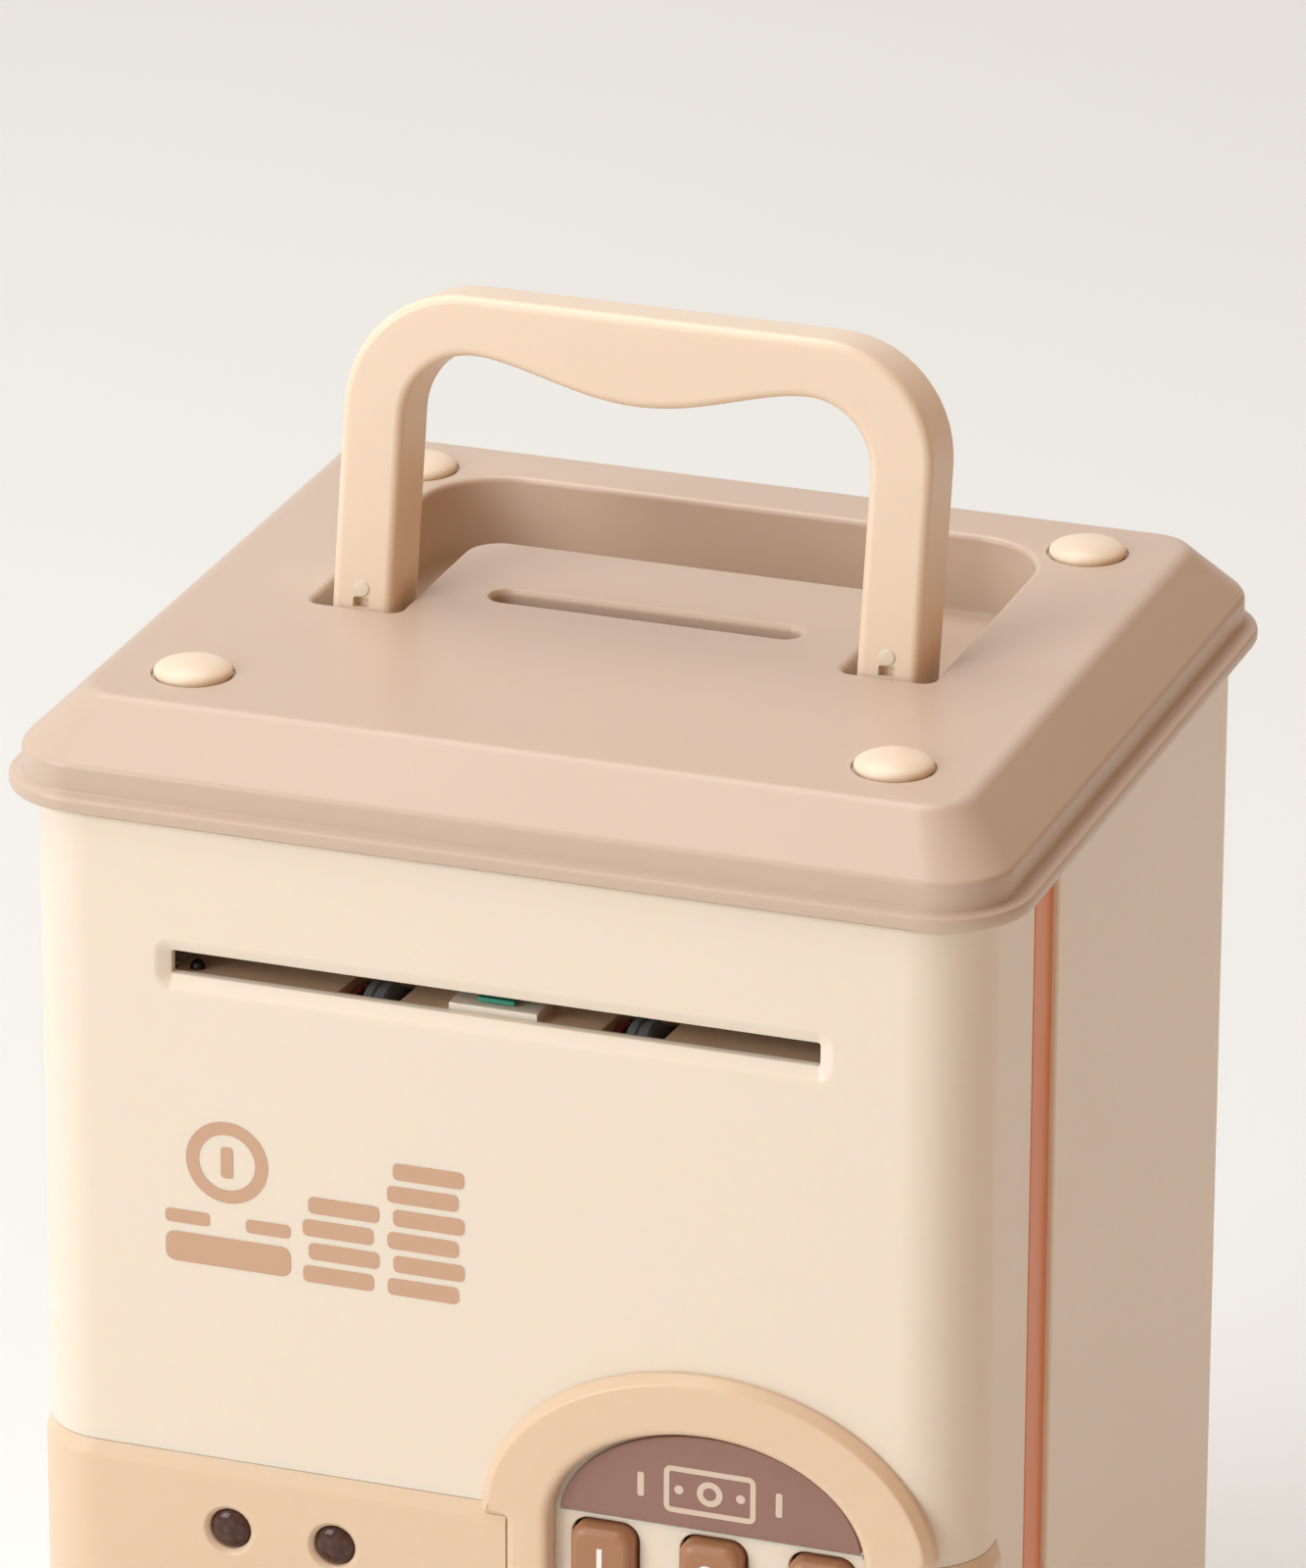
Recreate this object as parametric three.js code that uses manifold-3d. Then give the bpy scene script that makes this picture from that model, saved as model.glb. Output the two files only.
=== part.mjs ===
// Toy cash-machine savings bank: a box with a hinged front door that carries a keypad, a banknote
// feed and a turn-knob lock, under a lid with a coin slot and a folding carry handle.
// Millimetres, +Z up, the front faces -Y, +X is to the right of someone looking at the front.
// The group is shifted along Y so that the origin is the bottom centre of the whole object.

import * as THREE from 'three';
import { mergeVertices } from 'three/addons/utils/BufferGeometryUtils.js';
import Module from 'manifold-3d';

const wasm = await Module();
wasm.setup();

// ---------------------------------------------------------------- driving dimensions

const GAP = 0.3;                 // clearance kept between pieces that touch
const WALL = 2.2;                // moulded wall

const LID_TOP = 190;             // top of the lid above the table
const HALF_W = 64.8;             // half width of door and case
const HALF_D = 57.9;             // half depth of door and case
const FRONT_R = 9.7;             // vertical corner radius of the door
const BACK_R = 8.2;              // vertical corner radius of the case

const FOOT_H = 2.2;
const FOOT = { r: 6, x: 52, y: 45 };
const BASE = { z0: FOOT_H + GAP, z1: 6, rimTop: 10 };

const CASE = { z0: 6.3, z1: 174.6, lipY: -31.2, stepY: -23.7, lipInset: 0.9, lipTop: 176.5 };

const LID = {
  flange: { z0: 176.8, z1: 178.9, x: 68.9, y0: -59.9, y1: 60.5, r: 12 },
  skirt: { z1: 183, x: 66.8, y0: -58.4, y1: 59.1, r: 9.5 },
  plate: { x: 59.6, y0: -50.5, y1: 52.5, r: 5.5 },
  thick: 2.1,
};
const RECESS = {
  x: 42.9, y0: -10.4, y1: 42.9, rearR: 11, frontR: 1.6, depth: 11.2, floor: 1.5, wall: 1.8,
};
const TONGUE = { x: 30.5, y1: 19.3, r: 5 };
const COIN_SLOT = { x: 21.4, y: 0.6, half: 2.2, collar: 1.5 };
const CAP = {
  r: 5.15, rise: 1.6, edge: 0.4, seat: 0.5, stemR: 1.8, stem: 8, x: 47.5, front: -39.4, rear: 42,
};
const FRAME = {
  z0: 177.1, z1: 179.1, skirtBottom: 174.9, skirtOut: 66.3, inset: 2.5, rear: 58.9, link: 1.5, postR: 3.4,
};
const FRAME_OPENING = { x: 46.5, y0: -13.5, y1: 46.5, frontR: 2, rearR: 12 };

const HANDLE = {
  pivotY: -4.45, pivotZ: 184.6, lean: 10, outer: 40.5, leg: 8.5, thick: 10.46,
  reach: 46.7, outerR: 16, innerR: 9, innerTop: 38.85, swell: 4.05, swellHalf: 22.5,
};
const PIN_R = 1.5;
const HANDLE_PIN = { in: 29.0, out: 44.4, bore: 1.85 };

const DOOR = { z0: 6.6, z1: 176.2, rearY: -33.2, rearR: 1.5, hingeX: 61, hingeY: -36.8, bossX: 57.6 };
const HINGE_PIN = { bore: 1.85, reach: 9, top: 181.2, bossTop: 181.7, bossR: 3.2 };
const LINER = { thick: 2.0, inset: 0.4 };

const BILL_SLOT = { x: 43.9, z0: 155.5, z1: 158.6, lead: 2, leadDeep: 1.2 };
const RAMP = {
  x: 44.5, frontZ: 155, rearY: -36, rearZ: 153.4, thick: 2.2, windowX: 17.9, windowHalf: 4.2,
  windowFront: 1.4, windowRear: -43, ears: [-26, 24], earThick: 2, earHalf: 3.5, shaftGap: 0.35,
};
const RISE = { x0: -6.5, x1: 5.5, deep: 6, above: 1.3, below: 1.5 };
const SENSOR = { x0: -2.9, x1: 2.1, y0: -54.5, y1: -50.6, thick: 0.6 };

const FASCIA = { z0: 7.2, ledgeTop: 87.9, ledgeBottom: 85.8, proud: 0.7, wrapY: -46, thick: 0.9 };
const ARCH = { x: 29.9, z: 87.3 };
const BEZEL = {
  outerX: 31, outerZ: 23.6, earZ: 86.6, earLift: 2.8, x0: 2.4, x1: 58.9, bottom: 33.6, corner: 8,
  frontY: -59.9, chamfer: 1.2, innerX: 21.4, innerZ: 15.2, innerBottom: 38.4, collar: 2.6, rearY: -57.2,
};
const OPENING_GROW = 3;
const DECK = { frontY: -56.9, thick: 1.6 };
const LABEL = { inset: 0.8, base: 88.7, thick: 0.5 };
const KEY = {
  w: 8.5, h: 9, r: 2, pitchX: 14.8, pitchZ: 12.3, topRowZ: 82.6, x: 30.2, frontY: -59.3,
  edge: 0.8, flange: 1.2, flangeThick: 0.8, holeGap: 0.35,
};
const MAT = { frontY: -52.6, thick: 1 };
const BOARD = { frontY: -51.3, thick: 1.6, x0: 6, x1: 54.5, z0: 37, z1: 89 };
const LAMP = { x: [-36.4, -21.8], z: 78, r: 2.5, rimR: 3.4, hole: 2.85, proud: 0.2 };

const KNOB = {
  x: -36, z: 48, r: 17, edge: 2, backY: -59, frontY: -67.5, gripY: -71.5, gripHalf: 3.5, gripEnd: 1.5,
  shaftR: 4, bore: 4.35,
};
const CAM = { frontY: -27.6, thick: 2.4, hubR: 8, reach: 22, half: 4, pinR: 2.4, pinOver: 0.6 };
const LOCK_DISC = { frontY: -42.2, thick: 2.4, r: 9, notch: 4 };
const STRIKE = { x0: -61.2, x1: -55.5, frontY: -30.9, rearY: -28.2, z0: 38, z1: 58, web: 2, webDeep: 9 };
const PLUNGER = { r: 1.6, tip: -26.4, length: 12, y: -41 };
const SOLENOID = { x0: -20, x1: -4, y0: -46, y1: -36, z0: 42, z1: 54, bore: 1.95, boreEnd: -9 };

const GEAR = { module: 0.7, face: 3, x: -48, pinion: 10, idler: 20, roller: 14 };
const ROLLER = { y: -49.5, z: 149.4, r: 5.5, w: 3.2, shaftR: 1.2 };
const IDLER_Y = -43.5;
const PINION_Y = -46.5;
const MOTOR = { x0: -44, x1: -30.5, r: 6, shaftR: 1, shaftDeep: 8, bore: 1.3 };
const CELL = { r: 7.1, length: 49.8, pitch: 15.2, count: 3, y: -43, z: 116.8, nubR: 2.6, nub: 1 };
const BAY = { x: 27, z0: 93, z1: 140.6, wall: 1.6, frontY: -52 };

const COLORS = {
  cream: '#efe3d0', taupe: '#cdb8a2', peach: '#e6cfb2', handle: '#eddac2', brownKey: '#b07f5c',
  mauve: '#9c7468', lens: '#4a3330', steel: '#b9bcc0', rubber: '#3f4246', board: '#1d6b5c',
  white: '#f3efe8', brass: '#c8a25a', cell: '#7d8f5a',
};

// ---------------------------------------------------------------- solids and shapes

function toSolid(geometry) {
  const bare = geometry.clone();
  bare.deleteAttribute('normal');
  bare.deleteAttribute('uv');
  const merged = mergeVertices(bare, 1e-4);
  return new wasm.Manifold(new wasm.Mesh({
    numProp: 3,
    vertProperties: new Float32Array(merged.attributes.position.array),
    triVerts: new Uint32Array(merged.index.array),
  }));
}

function toGeometry(solid) {
  const mesh = solid.getMesh();
  const geometry = new THREE.BufferGeometry();
  geometry.setAttribute('position', new THREE.BufferAttribute(mesh.vertProperties, 3));
  geometry.setIndex(new THREE.BufferAttribute(mesh.triVerts, 1));
  return geometry;
}

function join(solids) {
  return solids.reduce((whole, solid) => whole.add(solid));
}

function cut(solid, tools) {
  return tools.reduce((rest, tool) => rest.subtract(tool), solid);
}

// An outline drawn in XY and raised from z0 to z1. A round corner gets two steps per curve segment.
function raiseZ(shape, z0, z1, curveSegments = 3) {
  const geometry = new THREE.ExtrudeGeometry(shape, { depth: z1 - z0, bevelEnabled: false, curveSegments });
  return toSolid(geometry.translate(0, 0, z0));
}

// An outline drawn in XZ and carried from y0 to y1.
function raiseY(shape, y0, y1, curveSegments = 3) {
  const geometry = new THREE.ExtrudeGeometry(shape, { depth: y1 - y0, bevelEnabled: false, curveSegments });
  return toSolid(geometry.rotateX(Math.PI / 2).translate(0, y1, 0));
}

// An outline drawn in YZ and carried from x0 to x1.
const YZ_TO_X = new THREE.Matrix4().set(0, 0, 1, 0, 1, 0, 0, 0, 0, 1, 0, 0, 0, 0, 0, 1);
function raiseX(shape, x0, x1, curveSegments = 3) {
  const geometry = new THREE.ExtrudeGeometry(shape, { depth: x1 - x0, bevelEnabled: false, curveSegments });
  return toSolid(geometry.applyMatrix4(YZ_TO_X).translate(x0, 0, 0));
}

function block(x0, x1, y0, y1, z0, z1) {
  const geometry = new THREE.BoxGeometry(x1 - x0, y1 - y0, z1 - z0);
  return toSolid(geometry.translate((x0 + x1) / 2, (y0 + y1) / 2, (z0 + z1) / 2));
}

// A round bar along an axis from a to b; c and d are its centre on the other two axes, in XYZ order.
function bar(axis, r, a, b, c, d, sides = 16) {
  const geometry = new THREE.CylinderGeometry(r, r, b - a, sides);
  const mid = (a + b) / 2;
  if (axis === 'x') geometry.rotateZ(-Math.PI / 2).translate(mid, c, d);
  if (axis === 'y') geometry.translate(c, mid, d);
  if (axis === 'z') geometry.rotateX(Math.PI / 2).translate(c, d, mid);
  return toSolid(geometry);
}

// A turned piece: profile points are [radius, distance towards -Y] from the given centre.
function turnedY(profile, x, y, z, segments = 24) {
  const points = profile.map(([r, a]) => new THREE.Vector2(r, a));
  return toSolid(new THREE.LatheGeometry(points, segments).rotateX(Math.PI).translate(x, y, z));
}

// A rectangle with round corners; radii may differ between the low and the high end of v.
function roundRect(u0, u1, v0, v1, rLow, rHigh = rLow) {
  const shape = new THREE.Shape();
  const corner = (u, v, r, start) => {
    if (r > 0) shape.absarc(u, v, r, start, start + Math.PI / 2);
    else shape.lineTo(u, v);
  };
  shape.moveTo(u0 + rLow, v0);
  corner(u1 - rLow, v0 + rLow, rLow, -Math.PI / 2);
  corner(u1 - rHigh, v1 - rHigh, rHigh, 0);
  corner(u0 + rHigh, v1 - rHigh, rHigh, Math.PI / 2);
  corner(u0 + rLow, v0 + rLow, rLow, Math.PI);
  shape.closePath();
  return shape;
}

function polygon(points) {
  const shape = new THREE.Shape();
  points.forEach(([u, v], i) => (i ? shape.lineTo(u, v) : shape.moveTo(u, v)));
  shape.closePath();
  return shape;
}

// Round-cornered rectangular sections stacked upwards into one closed solid.
function loft(sections, cornerSteps = 5) {
  const rings = sections.map(({ x, x0 = -x, y0, y1, r, z }) => {
    const centres = [[x - r, y0 + r, -90], [x - r, y1 - r, 0], [x0 + r, y1 - r, 90], [x0 + r, y0 + r, 180]];
    const ring = [];
    for (const [cx, cy, start] of centres) {
      for (let i = 0; i <= cornerSteps; i += 1) {
        const a = THREE.MathUtils.degToRad(start + (90 * i) / cornerSteps);
        ring.push([cx + r * Math.cos(a), cy + r * Math.sin(a), z]);
      }
    }
    return ring;
  });
  const count = rings[0].length;
  const points = rings.flat();
  const faces = [];
  for (let level = 0; level + 1 < rings.length; level += 1) {
    for (let i = 0; i < count; i += 1) {
      const a = level * count + i;
      const b = level * count + ((i + 1) % count);
      faces.push(a, b, b + count, a, b + count, a + count);
    }
  }
  const last = (rings.length - 1) * count;
  for (let i = 1; i + 1 < count; i += 1) {
    faces.push(0, i + 1, i, last, last + i, last + i + 1);
  }
  const geometry = new THREE.BufferGeometry();
  geometry.setAttribute('position', new THREE.Float32BufferAttribute(points.flat(), 3));
  geometry.setIndex(faces);
  return toSolid(geometry);
}

// Spur gear outline with involute flanks and backlash, a tooth centred on the given phase angle.
function gearShape(teeth, y, z, phase, bore) {
  const m = GEAR.module;
  const pitchR = (m * teeth) / 2;
  const baseR = pitchR * Math.cos(THREE.MathUtils.degToRad(20));
  const tipR = pitchR + 0.7 * m;
  const rootR = pitchR - 1.1 * m;
  const involute = (r) => {
    const a = Math.acos(Math.min(1, baseR / r));
    return Math.tan(a) - a;
  };
  const halfAt = (r) => (0.42 * Math.PI * m) / (2 * pitchR) + involute(pitchR) - involute(r);
  const startR = Math.max(baseR, rootR + 0.05);
  const flank = [rootR, startR, (startR + tipR) / 2, tipR];
  const points = [];
  for (let k = 0; k < teeth; k += 1) {
    const centre = phase + (k * 2 * Math.PI) / teeth;
    flank.forEach((r) => points.push([r, centre - halfAt(Math.max(r, startR))]));
    flank.toReversed().forEach((r) => points.push([r, centre + halfAt(Math.max(r, startR))]));
  }
  const shape = polygon(points.map(([r, a]) => [y + r * Math.cos(a), z + r * Math.sin(a)]));
  if (bore > 0) {
    const hole = new THREE.Path();
    hole.absarc(y, z, bore, 0, 2 * Math.PI, true);
    shape.holes.push(hole);
  }
  return shape;
}

// The phase that puts gear B in mesh with gear A when B lies at this direction from A.
function meshPhase(phaseA, teethA, teethB, direction) {
  const along = (direction - phaseA) / ((2 * Math.PI) / teethA);
  return direction + Math.PI + (along + 0.5) * ((2 * Math.PI) / teethB);
}

// ---------------------------------------------------------------- the group

const atm = new THREE.Group();
const FRONT_MOST = KNOB.gripY;
atm.position.y = -(FRONT_MOST + LID.flange.y1) / 2;

function add(name, solid, color, roughness = 0.35, metalness = 0, parent = atm) {
  const material = new THREE.MeshStandardMaterial({ color: COLORS[color], roughness, metalness });
  const mesh = new THREE.Mesh(toGeometry(solid), material);
  mesh.name = name;
  parent.add(mesh);
  return mesh;
}

// ---------------------------------------------------------------- case, base and feet

function caseShell() {
  const innerX = HALF_W - WALL;
  const innerY = HALF_D - WALL;
  const walls = raiseZ(roundRect(-HALF_W, HALF_W, CASE.stepY, HALF_D, 0, BACK_R), CASE.z0, CASE.z1);
  const room = raiseZ(roundRect(-innerX, innerX, CASE.stepY - 1, innerY, 0, BACK_R - WALL), 0, LID_TOP);
  const lips = [-1, 1].map((side) => {
    const out = side * (HALF_W - CASE.lipInset);
    const inside = side * innerX;
    const [a, b] = [Math.min(out, inside), Math.max(out, inside)];
    return block(a, b, CASE.lipY, CASE.stepY + 2, CASE.z0, CASE.lipTop);
  });
  const notch = block(-80, 80, CASE.stepY, 0, CASE.z1, LID_TOP);
  return cut(join([cut(walls, [room]), ...lips]), [notch]);
}

function basePlate() {
  const slab = raiseZ(roundRect(-HALF_W, HALF_W, -HALF_D, HALF_D, FRONT_R, BACK_R), BASE.z0, BASE.z1);
  const rimX = HALF_W - WALL - GAP;
  const rimY = HALF_D - WALL - GAP;
  const rim = raiseZ(roundRect(-rimX, rimX, CASE.stepY, rimY, 0, BACK_R - WALL), BASE.z0 + 1, BASE.rimTop);
  const hollow = raiseZ(
    roundRect(-rimX + WALL, rimX - WALL, CASE.stepY - 1, rimY - WALL, 0, BACK_R - 2 * WALL),
    BASE.z1, BASE.rimTop + 1,
  );
  const pinHole = bar('z', HINGE_PIN.bore, BASE.z0 + 1, LID_TOP, DOOR.hingeX, DOOR.hingeY);
  return cut(join([slab, cut(rim, [hollow])]), [pinHole]);
}

function strikePlate() {
  const { x0, x1, frontY, rearY, z0, z1, web, webDeep } = STRIKE;
  const plate = block(x0, x1, frontY, rearY, z0, z1);
  const arm = block(x0, x0 + web, rearY - 1, rearY + webDeep, z0, z1);
  return join([plate, arm]);
}

add('case_shell', caseShell(), 'cream');
add('base_plate', basePlate(), 'cream', 0.45);
add('latch_strike', strikePlate(), 'steel', 0.3, 1);
for (const [name, x, y] of [
  ['foot_front_left', -FOOT.x, -FOOT.y], ['foot_front_right', FOOT.x, -FOOT.y],
  ['foot_rear_left', -FOOT.x, FOOT.y], ['foot_rear_right', FOOT.x, FOOT.y],
]) {
  add(name, bar('z', FOOT.r, 0, FOOT_H, x, y, 20), 'rubber', 0.9);
}

// ---------------------------------------------------------------- lid, lid frame and caps

function lidOutline(inset, z, source) {
  const { x, y0, y1, r } = source;
  return { x: x - inset, y0: y0 + inset, y1: y1 - inset, r: Math.max(r - inset, 1), z };
}

function capPlaces() {
  return [
    ['front_left', -CAP.x, CAP.front], ['front_right', CAP.x, CAP.front],
    ['rear_left', -CAP.x, CAP.rear], ['rear_right', CAP.x, CAP.rear],
  ];
}

function lid() {
  const { flange, skirt, plate, thick } = LID;
  const round = (flange.z1 - flange.z0) / 4;
  const outside = loft([
    lidOutline(round, flange.z0, flange),
    lidOutline(0, flange.z0 + round, flange),
    lidOutline(0, flange.z1 - round, flange),
    lidOutline(round, flange.z1, flange),
    lidOutline(-0.2, flange.z1 + 0.01, skirt),
    lidOutline(0, skirt.z1 - 0.8, skirt),
    lidOutline(0.9, skirt.z1 + 0.4, skirt),
    lidOutline(-0.5, LID_TOP - 0.6, plate),
    lidOutline(0.4, LID_TOP, plate),
  ]);
  const inside = loft([
    lidOutline(thick, 170, skirt),
    lidOutline(thick, skirt.z1 - 0.8, skirt),
    lidOutline(thick - 0.4, LID_TOP - thick, plate),
  ]);
  const tubBottom = LID_TOP - RECESS.depth - RECESS.floor;
  const { wall } = RECESS;
  const tubOutline = roundRect(
    -RECESS.x - wall, RECESS.x + wall, RECESS.y0 - wall, RECESS.y1 + wall, RECESS.frontR, RECESS.rearR + wall,
  );
  const core = roundRect(
    -TONGUE.x + wall, TONGUE.x - wall, RECESS.y0 - 9, TONGUE.y1 - wall, 0, TONGUE.r - wall,
  );
  const tub = cut(raiseZ(tubOutline, tubBottom, LID_TOP - 1), [raiseZ(core, 170, LID_TOP - thick)]);
  const pocketOutline = roundRect(-RECESS.x, RECESS.x, RECESS.y0, RECESS.y1, RECESS.frontR, RECESS.rearR);
  const tongueOutline = roundRect(-TONGUE.x, TONGUE.x, RECESS.y0 - 9, TONGUE.y1, 0, TONGUE.r);
  const pocket = cut(
    raiseZ(pocketOutline, LID_TOP - RECESS.depth, LID_TOP + 1), [raiseZ(tongueOutline, 170, LID_TOP + 2)],
  );
  const { x, y, half, collar } = COIN_SLOT;
  const slotCollar = raiseZ(
    roundRect(-x - collar, x + collar, y - half - collar, y + half + collar, half), tubBottom, LID_TOP - 1,
  );
  const slot = raiseZ(roundRect(-x, x, y - half, y + half, half), 170, LID_TOP + 1);
  const pinBores = bar('x', HANDLE_PIN.bore, -80, 80, HANDLE.pivotY, HANDLE.pivotZ);
  const middle = block(-TONGUE.x + wall + 0.1, TONGUE.x - wall - 0.1, -20, 20, 170, LID_TOP);
  const boreLimit = block(-RECESS.x - wall - 1, RECESS.x + wall + 1, -20, 20, 170, LID_TOP);
  const capSeats = capPlaces().flatMap(([, cx, cy]) => [
    bar('z', CAP.r + GAP, LID_TOP - CAP.seat, LID_TOP + 1, cx, cy, 24),
    bar('z', CAP.stemR + GAP, 170, LID_TOP, cx, cy, 12),
  ]);
  const shell = join([cut(outside, [inside]), tub, slotCollar]);
  return cut(shell, [pocket, slot, cut(pinBores.intersect(boreLimit), [middle]), ...capSeats]);
}

function lidFrame() {
  const { skirt } = LID;
  const { z0, z1, skirtBottom, skirtOut, inset, rear, link, postR } = FRAME;
  const plate = loft([lidOutline(inset, z0, skirt), lidOutline(inset, z1, skirt)]);
  const sideBand = raiseZ(
    roundRect(-skirtOut, skirtOut, CASE.stepY + GAP, rear, 0, skirt.r),
    skirtBottom, LID.flange.z0 - GAP,
  );
  const bandRoom = raiseZ(
    roundRect(-skirtOut + WALL, skirtOut - WALL, -70, rear - WALL, 0, skirt.r - WALL), 160, 185,
  );
  const linkWall = raiseZ(
    roundRect(-skirtOut + link, skirtOut - link, CASE.stepY + GAP, rear - link, 0, skirt.r - link),
    LID.flange.z0 - GAP - 0.5, z0 + 0.5,
  );
  const linkRing = cut(linkWall, [bandRoom]).intersect(loft([
    lidOutline(inset, 170, skirt), lidOutline(inset, z0 + 0.5, skirt),
  ]));
  const { x: openX, y0: openFront, y1: openRear, frontR, rearR } = FRAME_OPENING;
  const opening = raiseZ(roundRect(-openX, openX, openFront, openRear, frontR, rearR), 160, 185);
  const postTop = LID_TOP - LID.thick - GAP;
  const posts = capPlaces().map(([, x, y]) => bar('z', postR, z1 - 0.5, postTop, x, y, 12));
  const stemHoles = capPlaces().map(([, x, y]) => bar('z', CAP.stemR + GAP, z1 + 2, LID_TOP, x, y, 12));
  const hingeBoss = bar('z', HINGE_PIN.bossR, z1 - 0.5, HINGE_PIN.bossTop, DOOR.hingeX - 0.2, DOOR.hingeY);
  const pinHole = bar('z', HINGE_PIN.bore, 160, LID_TOP, DOOR.hingeX, DOOR.hingeY);
  const ring = cut(join([plate, cut(sideBand, [bandRoom]), linkRing]), [opening]);
  return cut(join([ring, ...posts, hingeBoss]), [pinHole, ...stemHoles]);
}

function capSolid(x, y) {
  const steps = 4;
  const profile = [[0, -CAP.stem], [CAP.stemR, -CAP.stem], [CAP.stemR, 0], [CAP.r, 0]];
  for (let i = 1; i <= steps; i += 1) {
    const a = (i / steps) * (Math.PI / 2);
    profile.push([CAP.r * Math.cos(a), CAP.edge + CAP.rise * Math.sin(a)]);
  }
  profile[profile.length - 1][0] = 0;
  const points = profile.map(([r, h]) => new THREE.Vector2(r, h));
  const geometry = new THREE.LatheGeometry(points, 20).rotateX(Math.PI / 2);
  return toSolid(geometry.translate(x, y, LID_TOP - CAP.seat + GAP));
}

add('lid', lid(), 'taupe');
add('lid_frame', lidFrame(), 'taupe');
for (const [place, x, y] of capPlaces()) {
  add(`lid_cap_${place}`, capSolid(x, y), 'handle');
}

// ---------------------------------------------------------------- carry handle and its pins

// Drawn upright with the pivot at the origin: u across, v up the leg.
function handleSolid() {
  const { outer, leg, thick, reach, outerR, innerR, innerTop, swell, swellHalf } = HANDLE;
  const inner = outer - leg;
  const shape = new THREE.Shape();
  shape.moveTo(-outer, 0);
  shape.lineTo(-inner, 0);
  shape.lineTo(-inner, innerTop - innerR);
  shape.absarc(-inner + innerR, innerTop - innerR, innerR, Math.PI, Math.PI / 2, true);
  for (let u = -20; u <= 20; u += 2.5) {
    const wave = 0.5 + 0.5 * Math.cos((Math.PI * u) / swellHalf);
    shape.lineTo(u, innerTop - swell * wave ** 0.8);
  }
  shape.absarc(inner - innerR, innerTop - innerR, innerR, Math.PI / 2, 0, true);
  shape.lineTo(inner, 0);
  shape.lineTo(outer, 0);
  shape.absarc(outer - outerR, reach - outerR, outerR, 0, Math.PI / 2);
  shape.absarc(-outer + outerR, reach - outerR, outerR, Math.PI / 2, Math.PI);
  shape.closePath();
  const bow = raiseY(shape, -thick / 2, thick / 2, 5);
  const ends = [-1, 1].map((side) => {
    const [a, b] = side < 0 ? [-outer, -inner] : [inner, outer];
    return bar('x', thick / 2, a, b, 0, 0, 24);
  });
  const bore = bar('x', HANDLE_PIN.bore, -outer - 1, outer + 1, 0, 0);
  const notches = [-1, 1].map((side) => {
    const u = side * (outer - leg / 2);
    return block(u - 1.1, u + 1.1, -thick / 2 - 1, -thick / 2 + 1.5, 4, 5.3);
  });
  return cut(join([bow, ...ends]), [bore, ...notches]);
}

const handleGroup = new THREE.Group();
handleGroup.position.set(0, HANDLE.pivotY, HANDLE.pivotZ);
handleGroup.rotation.x = -THREE.MathUtils.degToRad(HANDLE.lean);
atm.add(handleGroup);
add('carry_handle', handleSolid(), 'handle', 0.3, 0, handleGroup);
for (const [name, a, b] of [
  ['handle_pin_left', -HANDLE_PIN.out, -HANDLE_PIN.in], ['handle_pin_right', HANDLE_PIN.in, HANDLE_PIN.out],
]) {
  add(name, bar('x', PIN_R, a, b, HANDLE.pivotY, HANDLE.pivotZ), 'steel', 0.3, 1);
}

// ---------------------------------------------------------------- door: panel, hinge pins, fascia

// Door outline in XY grown outwards by `out`, cut off at rearY.
function doorOutline(out, rearY, rearR = 0) {
  return roundRect(-HALF_W - out, HALF_W + out, -HALF_D - out, rearY, FRONT_R + out, rearR);
}

// The keypad window: straight sides, a flat bottom with round corners and a half ellipse on top.
function windowShape(grow, cornerR) {
  const x = ARCH.x;
  const halfX = BEZEL.innerX + grow;
  const bottom = BEZEL.innerBottom - grow;
  const shape = new THREE.Shape();
  shape.moveTo(x - halfX, ARCH.z);
  shape.lineTo(x - halfX, bottom + cornerR);
  shape.absarc(x - halfX + cornerR, bottom + cornerR, cornerR, Math.PI, 1.5 * Math.PI);
  shape.absarc(x + halfX - cornerR, bottom + cornerR, cornerR, 1.5 * Math.PI, 2 * Math.PI);
  shape.lineTo(x + halfX, ARCH.z);
  shape.absellipse(x, ARCH.z, halfX, BEZEL.innerZ + grow, 0, Math.PI);
  shape.closePath();
  return shape;
}

// Outline of the keypad bezel: a wide arch whose ears overhang narrower sides.
function bezelShape(inset) {
  const [rx, rz] = [BEZEL.outerX - inset, BEZEL.outerZ - inset];
  const [x0, x1] = [BEZEL.x0 + inset, BEZEL.x1 - inset];
  const [left, right] = [BEZEL.earZ, BEZEL.earZ + BEZEL.earLift];
  const leftA = Math.PI - Math.asin((left - ARCH.z) / rz);
  const rightA = Math.asin((right - ARCH.z) / rz);
  const bottom = BEZEL.bottom + inset;
  const corner = BEZEL.corner - inset;
  const shape = new THREE.Shape();
  shape.moveTo(x0, left);
  shape.lineTo(x0, bottom + corner);
  shape.absarc(x0 + corner, bottom + corner, corner, Math.PI, 1.5 * Math.PI);
  shape.absarc(x1 - corner, bottom + corner, corner, 1.5 * Math.PI, 2 * Math.PI);
  shape.lineTo(x1, right - 2);
  shape.absellipse(ARCH.x, ARCH.z, rx, rz, rightA, leftA);
  shape.closePath();
  return shape;
}

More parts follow.
